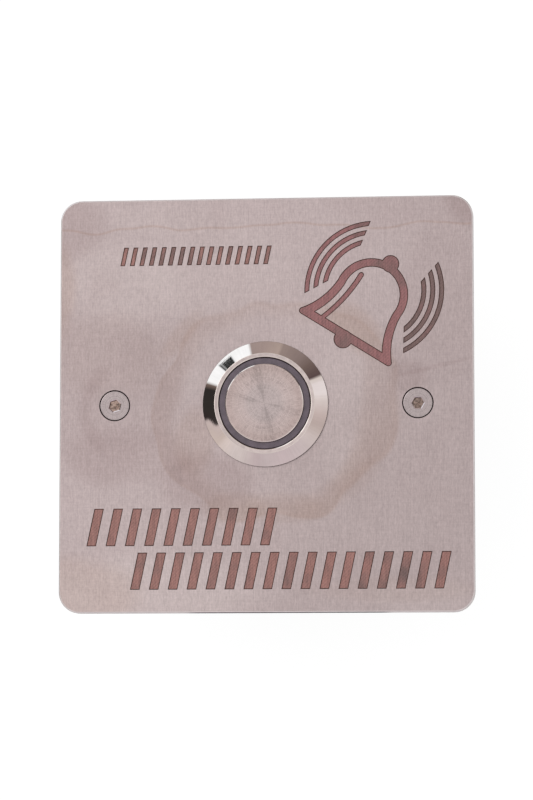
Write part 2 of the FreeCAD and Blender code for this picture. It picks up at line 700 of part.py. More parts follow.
def plunger_ring():
    made = doc.addObject("Part::Torus", "plunger_ring")
    made.Label = "plunger_ring"
    drive(made, "Radius1", "ring_radius")
    drive(made, "Radius2", "ring_wire")
    return place(made, z="(groove_low + groove_high) / 2")


def contact_bridge():
    """A sprung strip across the stem that joins the two fixed contacts."""
    body = new_body("contact_bridge")
    low = "stem_low - blade_thick"
    pad(body, low, "stem_low", rectangle("-bridge_half", "bridge_half", "-bridge_width / 2", "bridge_width / 2"),
        circle("0", "0", "neck_radius + gap"))
    return body


def bridge_clip():
    body = new_body("bridge_clip")
    top = "stem_low - blade_thick"
    turn(body, tube_profile("neck_radius + snug", "clip_radius", f"{top} - clip_thick", top))
    return body


# ---------------------------------------------------------------- spring, lamps and contacts

def return_spring():
    made = coil("return_spring", "spring_radius", "spring_wire",
                "guide_web - deck - 2 * spring_wire - 2 * snug", value("spring_turns"))
    return place(made, z="deck + spring_wire + snug")


def blade_slot(side, along_x):
    """The opening for one terminal blade."""
    near, far = "(blade_reach - blade_thick / 2 - gap)", "(blade_reach + blade_thick / 2 + gap)"
    half = "(blade_width / 2 + gap)"
    reach = (f"{side} * {near}", f"{side} * {far}") if side > 0 else (f"-{far}", f"-{near}")
    return rectangle(*reach, f"-{half}", half) if along_x else rectangle(f"-{half}", half, *reach)


def lamp_board():
    body = new_body("lamp_board")
    pad(body, "deck", "deck + lamp_board_thick", circle("0", "0", "lamp_board_radius"),
        circle("0", "0", "lamp_board_bore"), blade_slot(1, False), blade_slot(-1, False))
    return body


def ring_lamps():
    """Four lamps on the board, under the skirt of the light guide."""
    body = new_body("ring_lamps")
    low = "deck + lamp_board_thick"
    top, half_x, half_y = f"{low} + lamp_height", "lamp_length / 2", "lamp_width / 2"
    for angle in (45, 135, 225, 315):
        x, y = f"lamp_circle * cos({angle})", f"lamp_circle * sin({angle})"
        pad(body, low, top, rectangle(f"{x} - {half_x}", f"{x} + {half_x}", f"{y} - {half_y}", f"{y} + {half_y}"))
        pad(body, top, f"{top} + lens_height", circle(x, y, "lens_radius"))
    return body


def contact_housing():
    body = new_body("contact_housing")
    hole, roof = "stud_radius + stem_gap", "deck - contact_roof"
    turn(body, (
        (hole, roof), ("contact_bore", roof), ("contact_bore", "base_top"), ("flange_radius", "base_top"),
        ("flange_radius", "bush_low"), ("contact_radius", "bush_low"), ("contact_radius", "deck"), (hole, "deck")))
    cut(body, roof, "deck", blade_slot(1, False), blade_slot(-1, False))
    return body


def terminal_base():
    body = new_body("terminal_base")
    slots = [blade_slot(side, along_x) for along_x in (True, False) for side in (1, -1)]
    pad(body, "base_low", "base_top", circle("0", "0", "flange_radius"), *slots)
    half = "base_rib_width / 2"
    for x, y in ((half, "base_rib_reach"), ("base_rib_reach", half)):
        pad(body, "base_low - base_rib", "base_low", rectangle(f"-{x}", x, f"-{y}", y))
    return body


def blade(label, low, high, side, along_x):
    body = new_body(label)
    near, far = "(blade_reach - blade_thick / 2)", "(blade_reach + blade_thick / 2)"
    reach = (near, far) if side > 0 else (f"-{far}", f"-{near}")
    half = "blade_width / 2"
    pad(body, low, high, rectangle(*reach, f"-{half}", half) if along_x else rectangle(f"-{half}", half, *reach))
    return body


def signal_terminals():
    """Two blades at the sides, each with a foot and a riveted contact under the bridge."""
    pieces = []
    for side in (1, -1):
        body = blade(f"signal_terminal_{len(pieces)}", "blade_low", "base_top", side, True)
        reach = ("rivet_reach - blade_width / 2", "blade_reach + blade_thick / 2")
        ends = reach if side > 0 else [f"-({end})" for end in reversed(reach)]
        pad(body, "base_top", "base_top + blade_thick", rectangle(*ends, "-blade_width / 2", "blade_width / 2"))
        pad(body, "base_top + blade_thick", "stem_low - blade_thick - travel - gap",
            circle(f"{side} * rivet_reach", "0", "rivet_radius"))
        pieces.append(body)
    return group("signal_terminals", pieces)


def lamp_terminals():
    """Two long blades, front and back, that reach up to the lamp board."""
    top = "deck + lamp_board_thick + blade_proud"
    return group("lamp_terminals", [
        blade("lamp_terminal_0", "blade_low", top, 1, False), blade("lamp_terminal_1", "blade_low", top, -1, False)])


BLADES = ((-1, 0), (0, -1), (0, 1), (1, 0))


def blade_sleeves():
    """Heat-shrink over each blade's end and the start of its lead."""
    pieces = []
    for x, y in BLADES:
        body = new_body(f"blade_sleeve_{len(pieces)}")
        turn(body, tube_profile(
            "sleeve_bore", "sleeve_radius", "blade_low - sleeve_below", "blade_low + sleeve_above"))
        pieces.append(place(body, f"{x} * blade_reach", f"{y} * blade_reach"))
    return group("blade_sleeves", pieces)


# ---------------------------------------------------------------- the leads

# Each lead's name, its blade and the corner where it turns towards its way of the connector.
LEAD_ROUTES = (
    ("signal_lead_left", ("-blade_reach", "0"), ("-1.5 * lead_pitch", "10")),
    ("lamp_lead_front", ("0", "-blade_reach"), ("-0.5 * lead_pitch", "5")),
    ("lamp_lead_rear", ("0", "blade_reach"), ("0.5 * lead_pitch", "12")),
    ("signal_lead_right", ("blade_reach", "0"), ("1.5 * lead_pitch", "10")),
)


def rounded_path(points, radii):
    """Straight runs between the points, joined by tangent arcs."""
    edges = []
    start = points[0]
    for before, corner, after, radius in zip(points, points[1:], points[2:], radii):
        arriving, leaving = (corner - before).normalize(), (after - corner).normalize()
        half_turn = arriving.getAngle(leaving) / 2
        setback = radius * math.tan(half_turn)
        first, last = corner - arriving * setback, corner + leaving * setback
        inward = (leaving - arriving).normalize()
        middle = corner + inward * radius * (1 / math.cos(half_turn) - 1)
        edges += [Part.LineSegment(start, first).toShape(), Part.Arc(first, middle, last).toShape()]
        start = last
    edges.append(Part.LineSegment(start, points[-1]).toShape())
    return Part.Wire(edges)


def lead(label, blade_end, corner):
    """A lead from a blade's end, round a bend over the board and straight into the connector."""
    radius = value("lead_radius")
    points = [FreeCAD.Vector(*[value(size) for size in point]) for point in (
        (*blade_end, "blade_low"), (*blade_end, "lead_level"), (*corner, "lead_level"),
        (corner[0], "socket_face", "lead_level"))]
    radii = value("lead_bend"), value("lead_turn")
    path = rounded_path(points, radii)
    section = Part.Wire(Part.makeCircle(radius, points[0], Z))
    made = doc.addObject("Part::Feature", label)
    made.Label = label
    made.Shape = path.makePipeShell([section], True, False)
    expected = math.pi * radius ** 2 * path.Length
    print(f"{label}: bends {radii} mm, volume {made.Shape.Volume:.2f} of {expected:.2f}")
    return made


# ---------------------------------------------------------------- the housing

POSTS = (("post_reach", "0"), ("-post_reach", "0"), ("0", "post_back"))
RIBS = 12


def housing():
    """A moulded cup with two screw bosses, three posts for the board and ribs under its barrel."""
    body = new_body("housing")
    turn(body, (
        ("0", "house_low + foot_depth"), ("foot_radius", "house_low + foot_depth"),
        ("foot_radius + foot_depth", "house_low"), ("house_lower - house_edge", "house_low"),
        ("house_lower", "house_low + house_edge"), ("house_lower", "house_step"), ("house_radius", "house_step"),
        ("house_radius", "plate_back"), ("house_bore", "plate_back"), ("house_bore", "house_floor"),
        ("0", "house_floor")))
    for side in (1, -1):
        pad(body, "boss_low", "plate_back", circle(f"{side} * screw_reach", "0", "boss_radius"))
    for x, y in POSTS:
        pad(body, "house_floor", "board_low", circle(x, y, "post_radius"))
    for rib in range(RIBS):
        angle = 360 / RIBS * (rib + 0.5)
        pad(body, "house_low + rib_foot", "house_step",
            wedge("(house_lower - rib_root)", "(house_lower + rib_rise)", angle, 1, 1))
    for side in (1, -1):
        at = circle(f"{side} * screw_reach", "0", "insert_radius")
        cut(body, "insert_low", "plate_back", at)
        cut(body, "screw_low - 1", "insert_low", circle(f"{side} * screw_reach", "0", "screw_bore"))
    for x, y in POSTS:
        cut(body, "house_floor", "board_low", circle(x, y, "pilot_radius"))
    return body


def screw_inserts():
    pieces = []
    for side in (1, -1):
        body = new_body(f"screw_insert_{len(pieces)}")
        turn(body, tube_profile("screw_radius + snug", "insert_radius - snug", "insert_low", "plate_back"))
        pieces.append(place(body, f"{side} * screw_reach"))
    return group("screw_inserts", pieces)


# ---------------------------------------------------------------- the transmitter

def transmitter_board():
    body = new_body("transmitter_board")
    pad(body, "board_low", "board_top", circle("0", "0", "board_radius"),
        *[circle(x, y, "pilot_radius + 0.3") for x, y in POSTS])
    return body


def board_screws():
    """Three pan-head screws that hold the board on its posts."""
    pieces = []
    top, long, short = "board_top + pan_height", "cross_length / 2", "cross_width / 2"
    for x, y in POSTS:
        body = new_body(f"board_screw_{len(pieces)}")
        turn(body, (
            ("0", "house_floor + screw_point"), ("pilot_radius - snug", "house_floor + screw_point"),
            ("pilot_radius - snug", "board_top"), ("pan_radius", "board_top"), ("pan_radius", f"{top} - pan_edge"),
            ("pan_radius - pan_edge", top), ("0", top)))
        for half_x, half_y in ((long, short), (short, long)):
            cut(body, f"{top} - cross_depth", top, rectangle(f"-{half_x}", half_x, f"-{half_y}", half_y))
        pieces.append(place(body, x, y))
    return group("board_screws", pieces)


def radio_chip():
    """A flat package with a row of legs on each long side."""
    body = new_body("radio_chip")
    low, half_x, half_y, half = "board_top + chip_low", "chip_length / 2", "chip_width / 2", "leg_width / 2"
    pad(body, low, f"{low} + chip_thick", rectangle(f"-{half_x}", half_x, f"-{half_y}", half_y))
    for leg in range(-3, 4):
        x = f"{leg} * leg_pitch"
        for near, far in (("-leg_reach", "leg_length - leg_reach"), ("leg_reach - leg_length", "leg_reach")):
            pad(body, "board_top", "board_top + leg_height", rectangle(f"{x} - {half}", f"{x} + {half}", near, far))
    return place(body, "chip_x", "chip_y")


def resonator():
    body = new_body("resonator")
    flange, top = "board_top + 0.5", "board_top + can_height"
    turn(body, (
        ("0", "board_top"), ("can_flange", "board_top"), ("can_flange", flange), ("can_radius", flange),
        ("can_radius", f"{top} - can_edge"), ("can_radius - can_edge", top), ("0", top)))
    return place(body, "can_x", "can_y")


def antenna_coil():
    """A sprung wire aerial that stands on the board."""
    made = coil("antenna_coil", "coil_radius", "coil_wire", "coil_top - board_top - 2 * coil_wire - snug",
                value("coil_turns"))
    return place(made, "aerial_x", "aerial_y", "board_top + coil_wire + snug")


def capacitor():
    body = new_body("capacitor")
    end, top, bead = "drum_radius - drum_edge", "board_top + drum_height", "board_top + drum_bead"
    turn(body, (
        ("0", "board_top"), (end, "board_top"), ("drum_radius", "board_top + drum_edge"),
        ("drum_radius", f"{bead} - 2 * drum_edge"), (end, bead), ("drum_radius", f"{bead} + 2 * drum_edge"),
        ("drum_radius", f"{top} - drum_edge"), (end, top), ("0", top)))
    return place(body, "drum_x", "drum_y")


def lead_connector():
    """A four-way socket: its leads come in at the front face."""
    body = new_body("lead_connector")
    top, half, start = "board_top + socket_height", "socket_length / 2", "socket_face + window_start"
    pad(body, "board_top", top, rectangle(f"-{half}", half, "socket_face", "socket_face + socket_depth"))
    cut(body, f"{top} - window_depth", top,
        *[rectangle(f"{way} * lead_pitch - window / 2", f"{way} * lead_pitch + window / 2", start,
                    f"{start} + window_length") for way in (-1.5, -0.5, 0.5, 1.5)])
    return body


def battery_holder():
    body = new_body("battery_holder")
    outside = ("cell_y - holder_width / 2", "cell_y + holder_width / 2")
    inside = ("cell_y - holder_inner / 2", "cell_y + holder_inner / 2")
    pad(body, "board_top", "holder_top", rectangle("-holder_half", "holder_half", *outside))
    cut(body, "cell_level - cell_radius", "holder_top", rectangle("-holder_bay", "holder_bay", *inside))
    cut(body, "holder_top - holder_dip", "holder_top", rectangle("-holder_dip_half", "holder_dip_half", *outside))
    return body


def battery():
    """A 12 V cell lying along X: jacket, shoulder and cap."""
    body = new_body("battery")
    turn(body, (
        ("0", "0"), ("cell_radius - cell_edge", "0"), ("cell_radius", "cell_edge"),
        ("cell_radius", "cell_length - cell_shoulder"), ("cell_radius - cell_shoulder", "cell_length"),
        ("cell_cap", "cell_length"), ("cell_cap", "cell_length + cell_cap_rise"), ("0", "cell_length + cell_cap_rise")))
    body.Placement.Rotation = FreeCAD.Rotation(FreeCAD.Vector(0, 1, 0), 90)
    return place(body, "holder_bay - clip_sheet - cell_cap_rise - cell_length", "cell_y", "cell_level")


def battery_contacts():
    pieces = []
    for left in ("-holder_bay", "holder_bay - clip_sheet"):
        body = new_body(f"battery_contact_{len(pieces)}")
        pad(body, "cell_level - cell_radius", "holder_top - 4 * gap",
            rectangle(left, f"{left} + clip_sheet", "cell_y - clip_half", "cell_y + clip_half"))
        pieces.append(body)
    return group("battery_contacts", pieces)


def battery_spring():
    """The coil that presses the cell against the other contact."""
    room = "2 * holder_bay - 2 * clip_sheet - cell_cap_rise - cell_length"
    made = coil("battery_spring", "coil_push", "push_wire", f"{room} - 2 * push_wire - snug", 2.5)
    made.Placement.Rotation = FreeCAD.Rotation(FreeCAD.Vector(0, 1, 0), 90)
    return place(made, "clip_sheet + push_wire + snug / 2 - holder_bay", "cell_y", "cell_level")


# ---------------------------------------------------------------- the whole button

NODES = [
    face_plate(), *marks("fill", "plate_top - mark_depth", "plate_top - mark_depth + mark_fill"),
    plate_gasket(), plate_screws(), switch_bushing(), bushing_seal(), lock_washer(), lock_nut(), button_cap(),
    light_guide(), plunger_ring(), contact_bridge(), bridge_clip(), return_spring(), lamp_board(), ring_lamps(),
    contact_housing(), terminal_base(), signal_terminals(), lamp_terminals(), blade_sleeves(),
    *[lead(*route) for route in LEAD_ROUTES], housing(), screw_inserts(), transmitter_board(), board_screws(),
    radio_chip(), resonator(), antenna_coil(), capacitor(), lead_connector(), battery_holder(), battery(),
    battery_contacts(), battery_spring(),
]

doc.recompute()
for thing in doc.Objects:
    if "Invalid" in thing.State or "Error" in thing.State:
        raise RuntimeError(f"{thing.Label}: {thing.State}")
for node in NODES:
    if node.Shape.isNull() or not node.Shape.isValid():
        raise RuntimeError(f"{node.Label}: bad shape")

os.makedirs("parts", exist_ok=True)
for node in NODES:
    node.Shape.exportStep(f"parts/{node.Label}.step")
print(f"{len(NODES)} nodes written")
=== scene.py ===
import math
from functools import reduce

import bmesh
import bpy
from bpy.props import FloatProperty, FloatVectorProperty, IntProperty, PointerProperty
from mathutils import Euler, Matrix, Vector


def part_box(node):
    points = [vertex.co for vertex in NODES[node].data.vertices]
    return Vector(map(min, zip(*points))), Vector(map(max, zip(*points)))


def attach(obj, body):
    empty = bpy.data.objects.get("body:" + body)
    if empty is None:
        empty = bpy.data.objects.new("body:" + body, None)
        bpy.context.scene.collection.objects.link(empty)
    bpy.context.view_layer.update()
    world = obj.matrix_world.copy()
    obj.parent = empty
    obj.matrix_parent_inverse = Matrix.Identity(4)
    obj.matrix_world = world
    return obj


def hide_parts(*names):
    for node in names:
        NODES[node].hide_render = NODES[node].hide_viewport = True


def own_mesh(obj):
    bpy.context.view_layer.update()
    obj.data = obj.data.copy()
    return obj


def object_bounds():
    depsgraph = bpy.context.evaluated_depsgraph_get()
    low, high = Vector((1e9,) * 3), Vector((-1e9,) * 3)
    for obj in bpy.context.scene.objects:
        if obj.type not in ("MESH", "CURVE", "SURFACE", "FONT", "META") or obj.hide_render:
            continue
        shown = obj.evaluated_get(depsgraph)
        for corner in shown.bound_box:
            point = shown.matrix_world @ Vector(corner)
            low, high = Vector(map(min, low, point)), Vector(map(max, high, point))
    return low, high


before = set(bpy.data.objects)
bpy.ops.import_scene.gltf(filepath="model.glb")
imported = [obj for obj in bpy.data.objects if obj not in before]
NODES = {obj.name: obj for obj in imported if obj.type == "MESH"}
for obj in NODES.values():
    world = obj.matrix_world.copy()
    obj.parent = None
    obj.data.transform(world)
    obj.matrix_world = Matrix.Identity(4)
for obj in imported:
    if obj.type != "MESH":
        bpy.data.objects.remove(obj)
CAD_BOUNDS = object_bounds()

bl_info = {
    "name": "Waiter Call Button",
    "version": (1, 0, 0),
    "blender": (4, 5, 0),
    "location": "View3D > Sidebar > Call Button",
    "description": "Brushed plate, polished ring-lit button, moulded housing and works of a waiter call "
                   "button",
    "category": "Object",
}

PANEL, BUTTON = "panel", "button"
MM = 0.001
ORIGIN = (0.0, 0.0, 0.0)
WELD = 0.0005 * MM  # Corners nearer than this become one.
CAD_WELD = 0.001 * MM  # The same for copies of CAD nodes.
SKIN = 0.001 * MM  # A face nearer than this to a height lies on it.


# ---------------------------------------------------------------- sizes and colours a user may change

def length(name, description, default):
    return FloatProperty(
        name=name, description=description, default=default, unit="LENGTH", subtype="DISTANCE", precision=5)


def colour(name, description, default):
    return FloatVectorProperty(
        name=name, description=description, default=default, size=3, subtype="COLOR", min=0.0, max=1.0)


class StudioSettings(bpy.types.PropertyGroup):
    """The camera, the floor and the light."""

    camera_place: FloatVectorProperty(
        name="Camera Place", description="Where the camera stands", size=3, unit="LENGTH",
        subtype="TRANSLATION", precision=5, default=(0.07103, -0.06588, 0.66294))
    camera_turn: FloatVectorProperty(
        name="Camera Turn", description="How far the camera leans from straight down", size=3,
        unit="ROTATION", subtype="EULER",
        default=(math.radians(5.738), math.radians(6.127), math.radians(0.014)))
    camera_lens: FloatProperty(
        name="Lens", description="Focal length on a 36 mm frame", default=152.54, unit="CAMERA",
        subtype="DISTANCE_CAMERA")
    floor_colour: colour("Floor", "Colour of the floor", (0.86, 0.86, 0.86))
    floor_side: length("Floor Side", "Side of the square floor", 6.0)
    room_level: FloatProperty(
        name="Room Light", description="Strength of the even light from all round", default=0.72, min=0.0)
    key_power: FloatProperty(
        name="Key Lamp", description="Power of the large lamp at the upper left", default=1.9, min=0.0,
        unit="POWER")
    fill_power: FloatProperty(
        name="Fill Lamp", description="Power of the lamp at the lower right", default=0.7, min=0.0,
        unit="POWER")
    card_reach: length("Card Reach", "Distance of the ring of cards that the polished metal mirrors", 0.6)
    card_foot: length("Card Foot", "Height of the cards' lower edge", 0.03)
    card_top: length("Card Top", "Height of the cards' upper edge", 0.5)


class PlateSettings(bpy.types.PropertyGroup):
    """The brushed plate, its cut edge and its screws."""

    steel: colour("Steel", "Colour of the brushed face", (0.436, 0.358, 0.354))
    heat_tint: colour("Heat Tint", "What the brown marks leave of the steel's colour", (0.88, 0.805, 0.735))
    smoke_tint: colour(
        "Smoke Tint", "What the purple-grey marks leave of the steel's colour", (0.82, 0.780, 0.775))
    wiped: colour("Wiped Steel", "Colour of the face where it is wiped clean", (0.485, 0.405, 0.398))
    stain_strength: FloatProperty(
        name="Stain Strength", description="How plainly the marks of heat and wiping show", default=1.0,
        subtype="FACTOR", min=0.0, max=1.0)
    # The rounding's colour is painted brighter than the face as a highlight.
    edge_highlight_steel: colour("Edge Steel", "Colour of the rounding along the plate's edge", (0.60, 0.545, 0.535))
    cut_edge: colour("Cut Edge", "Colour of the plate's sides", (0.50, 0.465, 0.455))
    # The dark colour of the painted shade along the middle of the front side.
    side_painted_shade: colour(
        "Cutting Smoke", "Colour of the sides where the cutter's smoke settled", (0.045, 0.032, 0.040))
    screw_steel: colour("Screw Steel", "Colour of the two screws", (0.408, 0.344, 0.342))
    socket_steel: colour("Socket Steel", "Colour inside the screws' sockets", (0.40, 0.29, 0.245))
    # Dirt with a painted shade: the near black of the gap round each screw head.
    grime_and_shade: colour("Grime", "Colour of the dirt in the countersinks", (0.014, 0.007, 0.008))
    screw_segments: IntProperty(name="Screw Facets", description="Facets round a screw", default=48, min=12)


class MarkSettings(bpy.types.PropertyGroup):
    """The enamelled marks on the plate."""

    enamel_red: colour("Red Enamel", "The enamel of the bell and its arcs", (0.305, 0.128, 0.128))
    enamel_rust: colour("Rust Enamel", "The enamel of the bars", (0.335, 0.158, 0.136))
    enamel_brown: colour("Brown Enamel", "The enamel where it is brownest", (0.175, 0.104, 0.096))
    burnt_rim: colour("Burnt Rim", "The thin scorched line round each mark", (0.062, 0.030, 0.025))
    rim_width: length("Rim Width", "Width of the scorched line", 0.17 * MM)
    hatch_pitch: length("Hatch Pitch", "Pitch of the hatching under the enamel", 0.48 * MM)
    rim_rise: length("Rim Rise", "How far the scorched line stands over the enamel", 0.02 * MM)


class SwitchSettings(bpy.types.PropertyGroup):
    """The polished switch body and the button in it."""

    steel: colour("Polished Steel", "Colour of the bevelled head", (0.63, 0.555, 0.51))
    land_steel: colour("Land Steel", "Colour of the head's flat land", (0.545, 0.458, 0.441))
    # The upright rim's colour is a painted shade.
    rim_painted_shade: colour("Rim Steel", "Colour of the head's upright rim", (0.085, 0.065, 0.068))
    cap_steel: colour("Cap Steel", "Colour of the turned cap", (0.462, 0.384, 0.372))
    ring: colour("Lit Ring", "Colour of the smoked ring, unlit", (0.130, 0.099, 0.121))
    rim_height: length("Rim Height", "Height of the head's upright rim", 0.5 * MM)
    land_radius: length("Land Radius", "Radius where the bevel meets the flat land", 9.9 * MM)
    bore_radius: length("Bore Radius", "Radius of the bore that the button slides in", 9.1 * MM)
    thread_radius: length("Thread Radius", "Outer radius of the thread", 10.98 * MM)
    thread_pitch: length("Thread Pitch", "Pitch of the thread", 1.0 * MM)
    cap_bevel: length("Cap Bevel", "Width of the polished bevel round the cap", 0.15 * MM)
    cap_bevel_drop: length("Cap Bevel Drop", "Drop of that bevel", 0.09 * MM)
    mouth_bevel: length("Mouth Bevel", "Width of the bevel at the mouth of the bore", 0.15 * MM)
    mouth_bevel_drop: length("Mouth Bevel Drop", "Drop of that bevel", 0.09 * MM)
    edge_round: length("Edge Rounding", "Rounding of the head's edges", 0.06 * MM)
    segments: IntProperty(name="Facets", description="Facets round the switch", default=160, min=32)


class HousingSettings(bpy.types.PropertyGroup):
    """The moulded housing and the gasket."""

    plastic: colour("Housing", "Colour of the moulded housing", (0.060, 0.063, 0.070))
    gasket: colour("Gasket", "Colour of the rubber gasket", (0.022, 0.022, 0.024))
    edge_round: length("Edge Rounding", "Rounding of the moulded edges", 0.22 * MM)


class WorksSettings(bpy.types.PropertyGroup):
    """The parts inside."""

    board: colour("Board", "Colour of the solder resist", (0.018, 0.115, 0.048))
    copper: colour("Copper Alloy", "Colour of the blades and contacts", (0.72, 0.50, 0.24))
    nickel: colour("Nickel", "Colour of the nickel plating", (0.62, 0.60, 0.55))
    spring: colour("Spring Steel", "Colour of drawn spring wire", (0.45, 0.45, 0.46))
    cell: colour("Cell Jacket", "Colour of the battery's jacket", (0.075, 0.115, 0.170))


SETTINGS = {
    "studio": StudioSettings, "plate": PlateSettings, "marks": MarkSettings, "switch": SwitchSettings,
    "housing": HousingSettings, "works": WorksSettings,
}


def settings(group):
    return getattr(bpy.context.scene, f"call_button_{group}")


# ---------------------------------------------------------------- shader nodes

def tinted(base, factor):
    return tuple(min(1.0, channel * factor) for channel in base)


class Nodes:
    """Shader nodes that are added to a tree."""

    def __init__(self, tree):
        self.tree = tree

    def feed(self, socket, value):
        if isinstance(value, bpy.types.NodeSocket):
            self.tree.links.new(value, socket)
        elif socket.type == "RGBA" and len(value) == 3:
            socket.default_value = (*value, 1.0)
        else:
            socket.default_value = value

    def node(self, kind, inputs=(), **options):
        made = self.tree.nodes.new(f"ShaderNode{kind}")
        for name, value in options.items():
            setattr(made, name, value)
        for name, value in dict(inputs).items():
            self.feed(made.inputs[name], value)
        return made

    def calc(self, operation, first, second=0.0):
        return self.node("Math", {0: first, 1: second}, operation=operation).outputs[0]

    def minus(self, first, second):
        return self.calc("SUBTRACT", first, second)

    def times(self, *factors):
        return reduce(lambda total, factor: self.calc("MULTIPLY", total, factor), factors)

    def sum(self, *terms):
        return reduce(lambda total, term: self.calc("ADD", total, term), terms)

    def weigh(self, *parts):
        """The sum of (value, weight) parts."""
        return self.sum(*(self.times(value, weight) for value, weight in parts))

    def fade(self, value, start, end, low=0.0, high=1.0):
        """A smooth step from low to high as value goes from start to end."""
        return self.node(
            "MapRange", {"Value": value, "From Min": start, "From Max": end, "To Min": low, "To Max": high},
            interpolation_type="SMOOTHSTEP").outputs["Result"]

    def spread(self, value, low, high):
        """A smooth step over the range that noise mostly keeps to."""
        return self.fade(value, 0.3, 0.7, low, high)

    def line(self, value, width):
        """1 where value is nought, and nothing from a width on either side."""
        return self.fade(self.calc("ABSOLUTE", value), width, 0.0)

    def ramp(self, value, *stops):
        made = self.node("ValToRGB", {"Fac": value})
        elements = made.color_ramp.elements
        while len(elements) < len(stops):
            elements.new(0.5)
        for element, (position, shade) in zip(elements, stops):
            element.position = position
            element.color = (*shade, 1.0) if isinstance(shade, tuple) else (shade, shade, shade, 1.0)
        return made.outputs["Color"]

    def tones(self, value, base, *stops):
        """A base colour times a factor, by (position, factor) stops."""
        return self.ramp(value, *((position, tinted(base, factor)) for position, factor in stops))

    def mix(self, factor, first, second, blend="MIX"):
        made = self.node("Mix", data_type="RGBA", blend_type=blend)
        for index, value in ((0, factor), (6, first), (7, second)):
            self.feed(made.inputs[index], value)
        return made.outputs[2]

    def tint(self, shade, by, factor=1.0):
        """A colour multiplied by another."""
        return self.mix(factor, shade, by, "MULTIPLY")

    def mirror_rays(self):
        """1 for rays that a viewer sees straight, in a mirror or through glass."""
        path = self.node("LightPath").outputs
        return self.sum(path["Is Camera Ray"], path["Is Glossy Ray"], path["Is Transmission Ray"])


class Finish(Nodes):
    """The nodes of one material. Patterns lie on Object coordinates, and their sizes are in millimetres."""

    ENDLESS = 1e6  # A size along which a pattern doesn't change.

    def __init__(self, name, base, roughness, metallic=0.0, **sockets):
        self.material = bpy.data.materials.new(name)
        self.material.use_nodes = True
        super().__init__(self.material.node_tree)
        self.shader = self.tree.nodes["Principled BSDF"]
        self.set(Base_Color=base, Roughness=roughness, Metallic=metallic, **sockets)
        self.place = self.node("TexCoord").outputs["Object"]

    def set(self, **sockets):
        for name, value in sockets.items():
            self.feed(self.shader.inputs[name.replace("_", " ")], value)
        return self

    def surface(self, shader):
        """Shows another shader than the principled one."""
        output = next(node for node in self.tree.nodes if node.type == "OUTPUT_MATERIAL")
        self.feed(output.inputs["Surface"], shader)

    def grid(self, size, centre=ORIGIN, turn=0.0):
        """Coordinates in which one unit is the given size, a number or one for each axis."""
        sizes = size if isinstance(size, tuple) else (size,) * 3
        return self.node(
            "Mapping", {
                "Vector": self.place, "Location": tuple(c * MM for c in centre),
                "Rotation": (0, 0, math.radians(turn)), "Scale": tuple(s * MM for s in sizes)},
            vector_type="TEXTURE").outputs["Vector"]

    def axis(self, letter, size=1.0, centre=ORIGIN, turn=0.0):
        """One coordinate of a grid."""
        return self.node("SeparateXYZ", {0: self.grid(size, centre, turn)}).outputs[letter]

    def reach(self, radii, centre, turn=0.0):
        """Distance from an upright axis, in units of the radii."""
        flat = self.grid((*radii, self.ENDLESS), (*centre, 0), turn)
        return self.node("VectorMath", {0: flat}, operation="LENGTH").outputs["Value"]

    def from_axis(self, centre=(0, 0)):
        """Distance from an upright axis, in millimetres."""
        return self.reach((1, 1), centre)

    def noise(self, size, detail=2.0, centre=ORIGIN, turn=0.0, distortion=0.0):
        return self.node(
            "TexNoise", {
                "Vector": self.grid(size, centre, turn), "Scale": 1.0, "Detail": detail,
                "Distortion": distortion}).outputs["Fac"]

    def noise_over(self, scale, detail, *coordinates):
        """Noise over up to three coordinates given one by one."""
        place = self.node("CombineXYZ", dict(enumerate(coordinates))).outputs[0]
        return self.node("TexNoise", {"Vector": place, "Scale": scale, "Detail": detail}).outputs["Fac"]

    def cells(self, size):
        return self.node("TexVoronoi", {"Vector": self.grid(size), "Scale": 1.0}).outputs["Distance"]

    def bump(self, *layers):
        """Relief from (height, depth in millimetres) layers, laid over each other."""
        normal = None
        for height, depth in layers:
            made = self.node("Bump", {"Height": height, "Distance": depth * MM, "Strength": 1.0})
            if normal:
                self.feed(made.inputs["Normal"], normal)
            normal = made.outputs["Normal"]
        return self.set(Normal=normal)


# ---------------------------------------------------------------- finishes of the plate and its marks

